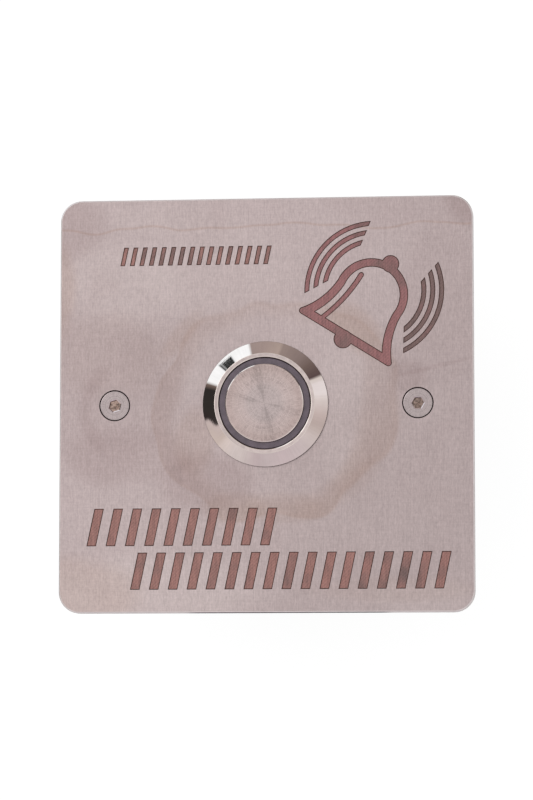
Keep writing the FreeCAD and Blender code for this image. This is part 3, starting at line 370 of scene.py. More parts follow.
def brushed_plate():
    """Rolled sheet with a fine grain, and the marks that heat, etching and wiping have left on it."""
    plate = settings("plate")
    made = Finish("brushed_plate", plate.steel, 0.36, 1.0, Anisotropic=0.35)
    upright, streaks, level = made.noise((0.21, 1.1, 1.1)), made.noise((0.20, 8, 8)), made.noise((4, 0.26, 4))
    speck = made.noise(0.32)
    cloud = made.noise(13, 3.0, distortion=0.5)
    uneven = made.times(made.minus(made.noise(13, 1.0), 0.5), 0.42)
    across, height = made.axis("X"), made.axis("Y")

    def oval(centre, radii, turn=0.0):
        """1 on a rough oval, less inside it."""
        return made.sum(made.reach(radii, centre, turn), uneven)

    def patch(centre, radii, soft=0.35, turn=0.0):
        return made.fade(oval(centre, radii, turn), 1 + soft, 1 - soft)

    def edge(centre, radii, width):
        """The line along the same oval."""
        return made.line(made.minus(oval(centre, radii), 1.0), width)

    outer, inner = ((2.3, -1.1), (24.0, 21.5)), ((1.9, -0.6), (19.2, 19.0))
    band = made.times(patch(*outer, 0.03), made.minus(1.0, patch(*inner, 0.08)))
    lower_right = made.fade(made.sum(across, made.times(height, -0.9)), 18, 32)
    wave = made.times(made.noise((14, 400, 400), 1.0), 5.0)
    tide = made.minus(made.sum(height, wave), 37.8)
    heat, smoke = tuple(plate.heat_tint), tuple(plate.smoke_tint)
    pale = tuple(clean / dull for clean, dull in zip(plate.wiped, plate.steel))
    layers = (
        # The face's own unevenness, and the areas that are wiped clean.
        (smoke, made.fade(cloud, 0.46, 0.78), 0.22),
        (pale, patch((-29, 24), (12, 8)), 0.60),
        (pale, patch((-11, 27), (14, 9)), 0.35),
        (pale, patch((15, -1), (6, 14)), 0.55),
        (pale, patch((-24, -37), (22, 7)), 0.95),
        (pale, patch((-13.5, 8), (3.5, 6.5)), 0.45),
        (pale, patch((31, -38), (10, 3.5)), 0.60),
        # The wide mark round the button, brown where it dried last.
        (heat, band, 0.26),
        (heat, edge(*outer, 0.035), 0.25),
        (heat, made.times(band, lower_right), 0.34),
        (heat, patch((3.5, -20.5), (8, 3)), 0.35),
        (heat, patch((18, -15), (6, 2.2), 0.5, 43), 0.22),
        (heat, patch((17.5, 15), (7, 3.5), 0.4, -40), 0.55),
        (heat, patch((-17, 13.5), (5.5, 1.8), 0.5, 50), 0.40),
        (smoke, patch((25, 8.5), (2.5, 2.5), 0.5), 0.35),
        (smoke, made.times(band, made.fade(across, -6, -16)), 0.30),
        (smoke, patch((-11.5, -15.5), (8.5, 5.8)), 0.66),
        (heat, patch((-14, -7.0), (3.6, 6.0)), 0.42),
        (heat, patch((-6.0, -20.5), (6.0, 3.0)), 0.35),
        # The field on the left, with an arc round the screw.
        (smoke, patch((-31.5, 2.5), (12.5, 17.0), 0.16), 0.28),
        (heat, patch((-31, 10), (12, 8)), 0.14),
        (smoke, patch((-28, -10), (12, 5.5)), 0.40),
        (smoke, made.times(edge((-29.5, -1), (6.8, 8.2), 0.30), made.fade(across, -30, -34)), 0.40),
        # The right: a smudge beside the screw with a scratch from it, and a duller area round the sound arcs.
        (smoke, patch((28.2, 5.0), (3.4, 3.0), 0.5), 0.66),
        (smoke, patch((33.5, 7.1), (7.5, 0.45), 0.5, 13), 0.40),
        (smoke, patch((35, 21), (8, 16)), 0.28),
        # The top, with its tide line, and the corners.
        (heat, made.line(tide, 0.42), 0.62),
        (pale, patch((-19, 37.5), (10, 3.5)), 0.30),
        (smoke, made.times(made.fade(tide, -0.3, 1.0), made.fade(across, 12, 24)), 0.15),
        (smoke, patch((43, 43), (8, 8), 0.2), 0.72),
        (smoke, patch((-40, 36), (7.5, 6.5)), 0.55),
        (heat, patch((-41.5, 23), (3.5, 9)), 0.50),
        (heat, patch((-39, -38), (14, 8), 0.20), 0.42),
        (heat, patch((25, -36.5), (16, 2.5)), 0.22),
    )
    grain = made.weigh((upright, 0.40), (streaks, 0.21), (level, 0.14), (speck, 0.25))
    shade = made.tones(grain, plate.steel, (0.30, 0.79), (0.5, 1.0), (0.70, 1.21))
    for tint, mask, weight in layers:
        shade = made.tint(shade, tint, made.times(mask, weight * plate.stain_strength))
    made.set(
        Base_Color=shade,
        Roughness=made.fade(made.weigh((upright, 0.6), (cloud, 0.4)), 0.25, 0.75, 0.33, 0.40))
    return made.bump((upright, 0.003), (level, 0.002), (speck, 0.0015)).material


def dirty(name, base, roughness, size, tones, depth, metallic=0.0, **sockets):
    """Grains of dirt of one size, between two tones of the base colour."""
    made = Finish(name, base, roughness, metallic, **sockets)
    grains = made.noise(size, 3.0)
    low, high = tones
    made.set(Base_Color=made.tones(grains, base, (0.3, low), (0.7, high)))
    return made.bump((grains, depth)).material


def sink_dirt_and_shade():
    """Dirt and polish residue in the countersinks, painted near black as the shade in the gap round each
    screw head.
    """
    return dirty("sink_dirt_and_shade", settings("plate").grime_and_shade, 0.8, 0.3, (0.7, 1.5), 0.01, Specular_IOR_Level=0.06)


def burnt_rim():
    """The scorched line that the laser leaves round a mark."""
    base = settings("marks").burnt_rim
    return dirty("burnt_rim", base, 0.6, 0.5, (0.7, 1.6), 0.01, Specular_IOR_Level=0.15)


def painted_side_shade(made):
    """1 along the middle of the plate's front side, where a shade is painted."""
    across = made.axis("X")
    return made.times(
        made.fade(across, -16.5, -13.0), made.fade(across, 25.5, 22.5),
        made.fade(made.axis("Y"), -40.0, -40.6))


def rounded_edge():
    """The narrow rounding along the plate's edge, rubbed and painted brighter than the face as a highlight,
    with a painted shade at its foot along the middle of the front side.
    """
    plate = settings("plate")
    made = Finish("rounded_edge", plate.edge_highlight_steel, 0.42, 1.0)
    rubbed = made.noise((1.5, 1.5, 0.3), 3.0)
    bright = made.tones(rubbed, plate.edge_highlight_steel, (0.3, 0.92), (0.7, 1.08))
    # A painted shade at the foot of the rounding, along the middle of the front side.
    foot = made.fade(made.axis("Z"), 2.96, 2.90)
    made.set(Base_Color=made.mix(made.times(painted_side_shade(made), foot), bright, tuple(plate.side_painted_shade)))
    return made.bump((rubbed, 0.002)).material


def cut_edge():
    """The plate's sides, striped by the cutter, with a painted shade along the middle of the front one."""
    plate = settings("plate")
    made = Finish("laser_cut_edge", plate.cut_edge, 0.5, 1.0)
    stripes = made.noise((0.22, 0.22, 6), 3.0)
    # Painted shade along the middle of the front side.
    shade = made.mix(painted_side_shade(made), tuple(plate.cut_edge), tuple(plate.side_painted_shade))
    made.set(
        Base_Color=made.tint(shade, made.ramp(stripes, (0.3, 0.75), (0.7, 1.25))),
        Roughness=made.spread(stripes, 0.38, 0.6))
    return made.bump((stripes, 0.02)).material


def etch_enamel(name, base, brown, to_right=0.0):
    """Fired enamel over an etching hatched at 45 degrees, brown over a share that may grow to the right."""
    marks = settings("marks")
    made = Finish(name, base, 0.46, 0.0, Specular_IOR_Level=0.45)
    cloud = made.noise(7, centre=(13, 4, 0))
    speckle = made.noise(0.30, 3.0)
    combed = made.noise((0.30, 4, 4))
    lines = made.axis("X", marks.hatch_pitch / MM / math.tau, turn=-45)
    hatch = made.calc("SINE", made.sum(lines, made.times(made.noise(3, 1.0), 2.5)))
    browned = made.fade(made.sum(cloud, brown, made.times(made.axis("X"), to_right)), 0.80, 1.15)
    sheen = made.mix(browned, tuple(base), tuple(marks.enamel_brown))
    grain = made.weigh((hatch, 0.05), (speckle, 0.45), (combed, 0.55))
    made.set(
        Base_Color=made.tint(sheen, made.ramp(grain, (0.32, 0.68), (0.5, 1.0), (0.68, 1.26))),
        Roughness=made.spread(speckle, 0.40, 0.55))
    return made.bump((hatch, 0.004), (speckle, 0.008)).material


def socket_steel(name, clean):
    """The inside of a socket, forged and oiled: a painted shade on its walls, and a browner floor made
    lighter by a given factor of painted light.
    """
    base = settings("plate").socket_steel
    made = Finish(name, base, 0.34, 1.0)
    draw = made.noise((0.12, 0.12, 3))
    blotch = made.noise(0.55)
    # The walls above this depth take a painted shade; the floor below it is painted lighter by the factor.
    floor = made.fade(made.axis("Z"), 1.795, 1.74)
    shade = made.tones(made.weigh((draw, 0.3), (blotch, 0.7)), base, (0.35, 0.45), (0.65, 1.4))
    made.set(
        Base_Color=made.mix(floor, tinted(base, 0.16), made.tint(shade, (clean, clean, clean))),
        Metallic=made.fade(floor, 0.0, 1.0, 1.0, 0.25), Roughness=made.spread(draw, 0.30, 0.46))
    return made.bump((draw, 0.01)).material


# ---------------------------------------------------------------- finishes of the switch

def polished_steel(name):
    """Mirror-polished steel with the faintest trace of its turning."""
    base = settings("switch").steel
    made = Finish(name, base, 0.045, 1.0)
    rings = made.noise_over(5.0, 2.0, made.from_axis())
    wear = made.noise(2.2, 4.0)
    wipe = made.noise((0.25, 5, 5), turn=30)
    made.set(
        Base_Color=made.tones(wear, base, (0.3, 0.96), (0.7, 1.03)),
        Roughness=made.fade(made.weigh((wear, 0.6), (wipe, 0.4)), 0.35, 0.75, 0.012, 0.032))
    return made.bump((rings, 0.0002), (wear, 0.0006)).material


def lapped_steel():
    """The flat land of the head, lapped to a satin."""
    base = settings("switch").land_steel
    made = Finish("lapped_steel", base, 0.16, 1.0)
    scuff = made.noise(0.9, 3.0)
    # Darker to one side of the land and lighter to the other, along a diagonal.
    diagonal_shift = made.fade(made.axis("X", turn=-45), -9, 9, -0.15, 0.15)
    made.set(
        Base_Color=made.tones(made.sum(scuff, diagonal_shift), base, (0.25, 0.88), (0.5, 1.0), (0.75, 1.12)),
        Roughness=made.spread(scuff, 0.12, 0.22))
    return made.bump((scuff, 0.001)).material


def rim_painted_shade():
    """The head's upright rim, painted dark as the shade where it meets the plate, with grains of dirt over
    it.
    """
    return dirty("rim_painted_shade", settings("switch").rim_painted_shade, 0.5, 1.2, (0.6, 1.5), 0.004, metallic=0.6)


def turned_steel(name, base, centre=(0, 0), pitch=0.2, rough=0.30, rays=()):
    """A face turned in a lathe: fine rings, with a painted reflection of them, a soft spread of lighter and
    darker directions, and dark rays given as (angle in degrees, what is left of the ray at the rim).
    """
    made = Finish(name, base, rough, 1.0)
    angle = made.calc("ARCTAN2", *(made.axis(letter, centre=(*centre, 0)) for letter in "YX"))
    radius = made.from_axis(centre)
    east, north = made.calc("COSINE", angle), made.calc("SINE", angle)

    def round_noise(scale, detail, spokes, *more):
        """Noise that changes with the direction, and so looks like spokes."""
        return made.noise_over(scale, detail, made.times(east, spokes), made.times(north, spokes), *more)

    rings, feeds = (made.noise_over(scale / pitch, 1.0, radius) for scale in (1.0, 0.3))
    # A painted reflection: lighter and darker directions round the axis.
    reflected_fan = round_noise(1.2, 2.0, 2.6)
    threads = round_noise(1.0, 1.0, 22.0, made.times(radius, 1.1))
    shade = made.sum(made.weigh((rings, 0.56), (feeds, 0.36), (reflected_fan, 0.36), (threads, 0.78)), -0.53)
    # Painted reflection: dark rays where the face mirrors dark things.
    for bearing, left in rays:
        near = made.fade(radius, 7.0, 1.2, left, 1.0)
        toward = made.calc("COSINE", made.minus(angle, math.radians(bearing)))
        wide, thin = (made.fade(toward, math.cos(math.radians(half)), 1.0) for half in (26, 11))
        shade = made.minus(shade, made.sum(made.times(wide, 0.06), made.times(thin, near, 0.15)))
    if rays:
        # Painted reflection: a two-fold crossing of lighter and darker. The middle is also a little lighter.
        crossing_reflection = made.calc("COSINE", made.times(made.minus(angle, math.radians(10)), 2.0))
        shade = made.sum(shade, made.times(crossing_reflection, 0.06), made.fade(radius, 2.0, 0.0, 0.02, 0.06))
    face = made.tones(shade, base, (0.22, 0.74), (0.5, 1.0), (0.78, 1.14))
    if rays:
        face = made.tint(face, made.ramp(
            made.times(radius, 0.125), (0.15, (0.945, 0.945, 0.955)), (0.40, (0.96, 0.96, 0.965)),
            (0.56, (1.03, 1.0, 0.995)), (0.72, (1.00, 0.965, 0.95)), (0.85, (0.935, 0.885, 0.865))))
    made.set(Base_Color=face, Roughness=made.spread(rings, rough * 0.85, rough * 1.2))
    return made.bump((rings, 0.003)).material


def smoked_ring():
    """Smoked acrylic, moulded: it stays dark until the lamps below it light."""
    base = settings("switch").ring
    made = Finish(
        "smoked_ring", base, 0.34, 0.0, Specular_IOR_Level=0.4, Coat_Weight=0.08, Coat_Roughness=0.25)
    haze = made.noise(1.6, 3.0)
    speck = made.noise(0.22)
    made.set(
        Base_Color=made.tones(haze, base, (0.3, 0.82), (0.7, 1.22)), Roughness=made.spread(speck, 0.28, 0.42))
    return made.bump((speck, 0.004)).material


# ---------------------------------------------------------------- finishes of the housing and the works

def moulded(name, base, rough=0.5, grain=0.25, depth=0.02):
    """Injection-moulded plastic: spark texture, slight flow marks and a little handling shine."""
    made = Finish(name, base, rough)
    spark = made.noise(grain, 3.0)
    flow = made.noise((6, 6, 22), 3.0, distortion=1.2)
    shine = made.noise(11, 3.0)
    made.set(
        Base_Color=made.tones(flow, base, (0.3, 0.84), (0.7, 1.18)),
        Roughness=made.spread(shine, rough - 0.1, rough + 0.08))
    return made.bump((spark, depth), (flow, depth)).material


def rubber(name, base):
    """Soft black rubber with a bloom of dust."""
    made = Finish(name, base, 0.78, 0.0, Specular_IOR_Level=0.3)
    bloom = made.noise(5, 4.0)
    made.set(
        Base_Color=made.tones(bloom, base, (0.35, 1.0), (0.8, 2.2)), Roughness=made.spread(bloom, 0.68, 0.88))
    return made.bump((made.cells(0.4), 0.03)).material


def machined(name, base, rough=0.25, lay=(0.12, 0.12, 5)):
    """Plated or bare metal with the lay of its machining and a few handling marks."""
    made = Finish(name, base, rough, 1.0)
    marks = made.noise(lay, 3.0)
    dull = made.noise(2.5, 3.0)
    made.set(
        Base_Color=made.tones(dull, base, (0.3, 0.82), (0.7, 1.1)),
        Roughness=made.spread(made.weigh((marks, 0.5), (dull, 0.5)), rough * 0.7, rough * 1.5))
    return made.bump((marks, 0.006)).material


def printed_board(name, base):
    """A glass-epoxy board: weave and tracks under the resist, plated holes and cut edges."""
    made = Finish(name, base, 0.28, 0.0, Coat_Weight=0.3, Coat_Roughness=0.15)
    black, white, solder = (0, 0, 0), (1, 1, 1), (0.72, 0.60, 0.36)
    weave = made.times(made.noise((0.35, 4, 4), 1.0), made.noise((4, 0.35, 4), 1.0))
    tracks = made.node(
        "TexBrick", {
            "Vector": made.grid(1.0, turn=45), "Scale": 0.35, "Mortar Size": 0.045, "Mortar Smooth": 0.4,
            "Color1": black, "Color2": black, "Mortar": white}).outputs["Color"]
    holes = made.fade(made.cells(2.7), 0.13, 0.09)
    resist = made.mix(tracks, made.tones(weave, base, (0.15, 0.8), (0.4, 1.2)), tinted(base, 2.1))
    laminate = made.ramp(made.noise((3, 3, 0.2)), (0.3, (0.30, 0.29, 0.15)), (0.7, (0.42, 0.40, 0.24)))
    upward = made.node("SeparateXYZ", {0: made.node("TexCoord").outputs["Normal"]}).outputs["Z"]
    face = made.fade(made.calc("ABSOLUTE", upward), 0.4, 0.6)
    made.set(
        Base_Color=made.mix(face, laminate, made.mix(holes, resist, solder)),
        Metallic=made.times(holes, face, 0.9))
    return made.bump((tracks, 0.03), (weave, 0.01)).material


def lead_sleeve(name, base):
    """PVC insulation, drawn smooth, with a slight waviness along it."""
    made = Finish(name, base, 0.4, 0.0, Specular_IOR_Level=0.5)
    wave = made.noise(1.4)
    scuff = made.noise(0.3, 3.0)
    made.set(
        Base_Color=made.tones(wave, base, (0.3, 0.85), (0.7, 1.12)), Roughness=made.spread(scuff, 0.34, 0.5))
    return made.bump((scuff, 0.01)).material


def cell_jacket():
    """The battery's lacquered jacket: a plain body with a bright band at its positive end."""
    base = settings("works").cell
    made = Finish("cell_jacket", base, 0.3, 0.0, Coat_Weight=0.25)
    band = made.fade(made.axis("X"), 6.9, 7.1)
    scuff = made.noise((5, 0.5, 0.5), 3.0)
    made.set(
        Base_Color=made.mix(band, made.tones(scuff, base, (0.3, 0.8), (0.7, 1.25)), (0.55, 0.40, 0.16)),
        Roughness=made.spread(scuff, 0.24, 0.4))
    return made.bump((scuff, 0.006)).material


def lamp_body():
    """A white lamp with a clear drop that has yellowed a little."""
    made = Finish("lamp_body", (0.80, 0.76, 0.62), 0.25, 0.0, Coat_Weight=0.4)
    made.set(
        Base_Color=made.mix(made.noise(0.6), (0.84, 0.80, 0.66), (0.74, 0.66, 0.40)),
        Roughness=made.fade(made.from_axis(), 6.0, 9.0, 0.15, 0.35))
    return made.material


# ---------------------------------------------------------------- making pieces

def linked_object(name, mesh, materials):
    thing = bpy.data.objects.new(name, mesh)
    bpy.context.scene.collection.objects.link(thing)
    for material in materials:
        mesh.materials.append(material)
    return thing


def new_piece(name, bm, *materials, body=PANEL, sharp=30.0, even=True):
    """A piece from a bmesh, its doubles merged, its faces outwards and its corners crisp.

    Even shading lets large faces keep their own shading where they meet narrow bevels.
    """
    bmesh.ops.remove_doubles(bm, verts=bm.verts, dist=WELD)
    bmesh.ops.recalc_face_normals(bm, faces=bm.faces)
    mesh = bpy.data.meshes.new(name)
    bm.to_mesh(mesh)
    bm.free()
    mesh.shade_smooth()
    mesh.set_sharp_from_angle(angle=math.radians(sharp))
    piece = linked_object(name, mesh, materials)
    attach(piece, body)
    if even:
        piece.modifiers.new("even_shading", "WEIGHTED_NORMAL").keep_sharp = True
    return piece


def studio_object(name, bm, material):
    mesh = bpy.data.meshes.new(name)
    bm.to_mesh(mesh)
    bm.free()
    thing = linked_object(name, mesh, (material,))
    return thing


def dress(finishes):
    """Gives CAD nodes their finish: {node: material}."""
    for node, material in finishes.items():
        mesh = NODES[node].data
        mesh.materials.clear()
        mesh.materials.append(material)


def clean_copy(node):
    """A bmesh of a CAD node with its loose triangles merged into whole faces."""
    bm = bmesh.new()
    bm.from_mesh(NODES[node].data)
    bmesh.ops.remove_doubles(bm, verts=bm.verts, dist=CAD_WELD)
    bmesh.ops.dissolve_limit(
        bm, angle_limit=math.radians(0.3), use_dissolve_boundaries=False, verts=bm.verts, edges=bm.edges)
    return bm


def creases(bm, angle, above=-math.inf):
    """The edges above a height where two faces meet at more than an angle."""
    return [
        edge for edge in bm.edges
        if edge.is_manifold and edge.calc_face_angle(0.0) > math.radians(angle)
        and min(vert.co.z for vert in edge.verts) > above]


def round_off(bm, edges, width, steps=2):
    bmesh.ops.bevel(
        bm, geom=edges, offset=width, offset_type="OFFSET", segments=steps, profile=0.5, affect="EDGES",
        clamp_overlap=True, material=-1)


def turn(bm, angle, verts):
    """Turns corners about the upright axis, by degrees."""
    bmesh.ops.rotate(bm, cent=ORIGIN, matrix=Matrix.Rotation(math.radians(angle), 3, "Z"), verts=verts)


def only_verts(geometry):
    return [one for one in geometry if isinstance(one, bmesh.types.BMVert)]


def spun(profile, segments):
    """A bmesh turned from a closed profile of (radius, height) corners."""
    bm = bmesh.new()
    ring = [bm.verts.new((radius, 0.0, height)) for radius, height in profile]
    edges = [bm.edges.new((first, second)) for first, second in zip(ring, ring[1:] + ring[:1])]
    bmesh.ops.spin(
        bm, geom=ring + edges, cent=ORIGIN, axis=(0, 0, 1), dvec=ORIGIN, angle=math.tau, steps=segments,
        use_merge=True, use_duplicate=False)
    bmesh.ops.remove_doubles(bm, verts=bm.verts, dist=WELD)
    on_axis = [face for face in bm.faces if face.calc_area() < 1e-14]
    bmesh.ops.delete(bm, geom=on_axis, context="FACES_ONLY")
    loose = [edge for edge in bm.edges if not edge.link_faces]
    bmesh.ops.delete(bm, geom=loose, context="EDGES")
    bmesh.ops.recalc_face_normals(bm, faces=bm.faces)
    return bm


def thread_ridge(bm, core, crest, low, high, pitch, segments):
    """A helical ridge from a core radius to its crest, with its ends closed."""
    root, tip = pitch * 0.42, pitch * 0.06
    turns = (high - low - 2 * root) / pitch
    corners = ((core, -root), (crest, -tip), (crest, tip), (core, root))
    ring = [bm.verts.new((radius, 0.0, low + root + height)) for radius, height in corners]
    start = bm.faces.new(ring)
    steps = int(turns * segments)
    bmesh.ops.spin(
        bm, geom=[start, *start.edges, *start.verts], cent=ORIGIN, axis=(0, 0, 1),
        dvec=(0, 0, turns * pitch / steps), angle=math.tau * turns, steps=steps, use_merge=False,
        use_duplicate=False)


# ---------------------------------------------------------------- the studio

class CALLBUTTON_OT_studio(bpy.types.Operator):
    """Sets up the camera, a pale floor, soft lamps and the cards that polished metal mirrors"""

    bl_idname = "call_button.studio"
    bl_label = "Studio"

    # What the bevel mirrors, by direction round the button: (share of a turn from -X, colour).
    CARDS = (
        (0.000, (0.048, 0.046, 0.044)), (0.034, (0.050, 0.042, 0.044)), (0.041, (0.84, 0.77, 0.80)),
        (0.083, (0.88, 0.81, 0.79)), (0.097, (1.04, 0.98, 0.99)), (0.133, (0.99, 0.96, 1.00)),
        (0.155, (0.95, 0.92, 0.96)), (0.205, (0.81, 0.74, 0.81)), (0.233, (0.83, 0.78, 0.85)),
        (0.290, (0.87, 0.80, 0.88)), (0.350, (0.88, 0.83, 0.90)), (0.400, (0.93, 0.89, 0.93)),
        (0.433, (0.82, 0.76, 0.77)), (0.450, (0.75, 0.68, 0.69)), (0.480, (0.86, 0.78, 0.80)),
        (0.530, (1.06, 1.04, 1.08)), (0.550, (1.20, 1.21, 1.29)), (0.578, (1.20, 1.20, 1.28)),
        (0.594, (1.00, 0.98, 0.98)), (0.600, (0.155, 0.112, 0.12)), (0.640, (0.25, 0.20, 0.19)),
        (0.670, (0.37, 0.31, 0.31)), (0.725, (0.48, 0.41, 0.40)), (0.728, (0.64, 0.56, 0.53)),
        (0.770, (0.56, 0.48, 0.475)), (0.803, (0.53, 0.46, 0.46)), (0.806, (1.50, 1.68, 1.82)),
        (0.932, (1.50, 1.68, 1.82)), (0.936, (0.30, 0.24, 0.22)), (0.944, (0.16, 0.13, 0.12)),
        (0.947, (0.046, 0.044, 0.044)), (1.000, (0.048, 0.046, 0.044)),
    )
    # The dark card ends on a slant. It runs between two heights, (height, how far the end moves), which climb
    # with the share, and fades out between two shares.
    SLANT, SLANT_CLIMB, SLANT_ZONE = ((0.1590, 0.0158), (0.1645, -0.0086)), 0.531, (0.085, 0.055)
    # A dark post that hangs before the brightest card, with a slit near its left side: (share, what it lets
    # through). Then the height, the lean and the softness of its foot.
    POST = (
        (0.8515, 1.0), (0.853, 0.025), (0.862, 0.04), (0.879, 0.03), (0.881, 0.35), (0.8835, 0.35),
        (0.885, 0.03), (0.887, 0.03), (0.889, 1.0))
    FOOT, FOOT_LEAN, FOOT_SOFT = 0.1314, 0.080, 0.0003
    # The floor as a mirror or the camera sees it: its own glow and what it takes of the lamps' light.
    FLOOR_GLOW, FLOOR_SHADE = 0.885, (0.20, 0.20, 0.20)

    def execute(self, context):
        studio = settings("studio")
        self.camera(context.scene, studio)
        self.room(context.scene, studio)
        self.floor(studio)
        self.cards(studio)
        self.lamp("key_lamp", (-0.62, 0.36, 0.95), 0.75, studio.key_power)
        self.lamp("fill_lamp", (0.55, -0.75, 0.70), 0.6, studio.fill_power)
        return {"FINISHED"}

    def camera(self, scene, studio):
        lens = bpy.data.cameras.new("camera")
        lens.lens, lens.sensor_width = studio.camera_lens, 36.0
        lens.clip_start, lens.clip_end = 0.01, 20.0
        camera = bpy.data.objects.new("camera", lens)
        scene.collection.objects.link(camera)
        camera.rotation_mode = "ZXY"
        camera.location = studio.camera_place
        camera.rotation_euler = Euler(studio.camera_turn, "ZXY")
        scene.camera = camera
        scene.view_settings.view_transform = "Standard"

    def room(self, scene, studio):
        """Even light from all round, which shows as white."""
        scene.world = bpy.data.worlds.new("room")
        scene.world.use_nodes = True
        made = Nodes(scene.world.node_tree)
        level = made.node(
            "MapRange", {"Value": made.mirror_rays(), "To Min": studio.room_level, "To Max": 1.0})
        background = made.tree.nodes["Background"].inputs
        made.feed(background["Color"], (1.0, 1.0, 1.0))
        made.feed(background["Strength"], level.outputs["Result"])

    def floor(self, studio):
        """A pale floor under the housing that still takes the button's shadow."""
        made = Finish("floor", studio.floor_colour, 0.9, 0.0, Specular_IOR_Level=0.0)
        made.set(Base_Color=made.tones(made.noise(3), studio.floor_colour, (0.3, 0.98), (0.7, 1.0)))
        glow = made.node("Emission", {"Color": (1.0, 1.0, 1.0), "Strength": self.FLOOR_GLOW}).outputs[0]
        dim = made.node("BsdfDiffuse", {"Color": self.FLOOR_SHADE}).outputs[0]
        seen = made.node("AddShader", {0: glow, 1: dim}).outputs[0]
        both = made.node("MixShader", {0: made.mirror_rays(), 1: made.shader.outputs[0], 2: seen}).outputs[0]
        made.surface(both)
        bm = bmesh.new()
        bmesh.ops.create_grid(bm, x_segments=1, y_segments=1, size=studio.floor_side / 2)
        bmesh.ops.translate(bm, vec=(0, 0, CAD_BOUNDS[0].z), verts=bm.verts)
        studio_object("floor", bm, made.material)

    def cards(self, studio):
        """A ring of bright and dark cards, seen only in polished metal."""
        made = Finish("cards", (0.0, 0.0, 0.0), 1.0)
        around = made.node("TexGradient", {"Vector": made.place}, gradient_type="RADIAL").outputs["Fac"]
        height = made.node("SeparateXYZ", {0: made.place}).outputs["Z"]
        hung = made.sum(height, made.times(made.minus(around, self.POST[0][0]), self.FOOT_LEAN))
        (low, forth), (high, back) = self.SLANT
        slant = made.fade(made.minus(height, made.times(around, self.SLANT_CLIMB)), low, high, forth, back)
        around = made.sum(around, made.times(made.fade(around, *self.SLANT_ZONE), slant))
        below = made.fade(hung, self.FOOT - self.FOOT_SOFT, self.FOOT + self.FOOT_SOFT)
        shade = made.tint(made.ramp(around, *self.CARDS), made.ramp(around, *self.POST), below)
        streaks = made.noise_over(170.0, 2.0, around)
        shade = made.tint(shade, made.ramp(streaks, (0.3, 0.96), (0.7, 1.03)))
        made.surface(made.node("Emission", {"Color": shade, "Strength": 1.0}).outputs[0])
        bm = bmesh.new()
        foot = bmesh.ops.create_circle(bm, cap_ends=False, segments=180, radius=studio.card_reach)["verts"]
        bmesh.ops.translate(bm, vec=(0, 0, studio.card_foot), verts=foot)
        top = bmesh.ops.extrude_edge_only(bm, edges=bm.edges[:])["geom"]
        bmesh.ops.translate(bm, vec=(0, 0, studio.card_top - studio.card_foot), verts=only_verts(top))
        ring = studio_object("cards", bm, made.material)
        ring.visible_camera = ring.visible_diffuse = ring.visible_shadow = False
        ring.visible_transmission = ring.visible_volume_scatter = False

    def lamp(self, name, place, side, power):
        light = bpy.data.lights.new(name, "AREA")
        light.shape, light.size, light.energy = "SQUARE", side, power
        lamp = bpy.data.objects.new(name, light)
        bpy.context.scene.collection.objects.link(lamp)
        lamp.location = place
        lamp.rotation_euler = (-Vector(place)).to_track_quat("-Z", "Y").to_euler()


# ---------------------------------------------------------------- the plate and what is on it

class CALLBUTTON_OT_plate(bpy.types.Operator):
    """Makes the brushed plate with its laser-cut sides and scorched pockets"""

    bl_idname = "call_button.plate"
    bl_label = "Face Plate"

    # The edge's faces lie within this of the plate's sides or, at its corners, this far beyond half a side.
    SIDE_ZONE, CORNER_REACH = 1.0 * MM, 12.5 * MM

    def execute(self, context):
        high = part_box("face_plate")[1]
        pocket_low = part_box("bell_fill")[0].z - 0.01 * MM
        face, side, pocket, sink, rounding = range(5)
        bm = clean_copy("face_plate")
        bm.normal_update()
        for one in bm.faces:
            middle, slope = one.calc_center_median(), one.normal.z
            upright = abs(slope) < 0.5
            inside = (max(abs(middle.x), abs(middle.y)) < high.x - self.SIDE_ZONE
                      and middle.xy.length < high.x + self.CORNER_REACH)
            one.material_index = face
            if upright and not inside:
                one.material_index = side
            elif not inside and 0.5 < slope < 0.998:
                one.material_index = rounding
            elif inside and pocket_low < middle.z < high.z - SKIN and (upright or slope > 0.99):
                one.material_index = pocket
            # The countersinks take the dirt and painted shade.
            elif inside and 0.5 < slope < 0.9:
                one.material_index = sink
        plate = new_piece(
            "steel_plate", bm, brushed_plate(), cut_edge(), burnt_rim(), sink_dirt_and_shade(), rounded_edge(),
            sharp=20.0)
        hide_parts("face_plate")
        return {"FINISHED"}


class CALLBUTTON_OT_marks(bpy.types.Operator):
    """Makes the enamelled bell, its sound arcs and the rows of bars, each with a scorched rim"""

    bl_idname = "call_button.marks"
    bl_label = "Enamelled Marks"

    def execute(self, context):
        marks = settings("marks")
        rim = burnt_rim()
        # Piece, node, enamel, how brown it is, and how much browner for each millimetre to the right.
        for name, node, *look in (
                ("bell_mark", "bell_fill", marks.enamel_red, 0.33),
                ("arc_marks", "sound_arcs_fill", marks.enamel_red, 0.05, 0.021),
                ("bar_marks", "bar_rows_fill", marks.enamel_rust, 0.36)):
            bm = clean_copy(node)
            bm.normal_update()
            top = [one for one in bm.faces if one.normal.z > 0.9]
            if not top:
                raise RuntimeError(f"{node} has no top face")
            ring = bmesh.ops.inset_region(
                bm, faces=top, thickness=marks.rim_width, depth=-marks.rim_rise, use_boundary=True,
                use_even_offset=True)["faces"]
            for one in bm.faces:
                one.material_index = 0
            for one in ring:
                one.material_index = 1
            piece = new_piece(name, bm, etch_enamel(f"{name}_enamel", *look), rim, even=False)
            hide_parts(node)
        return {"FINISHED"}


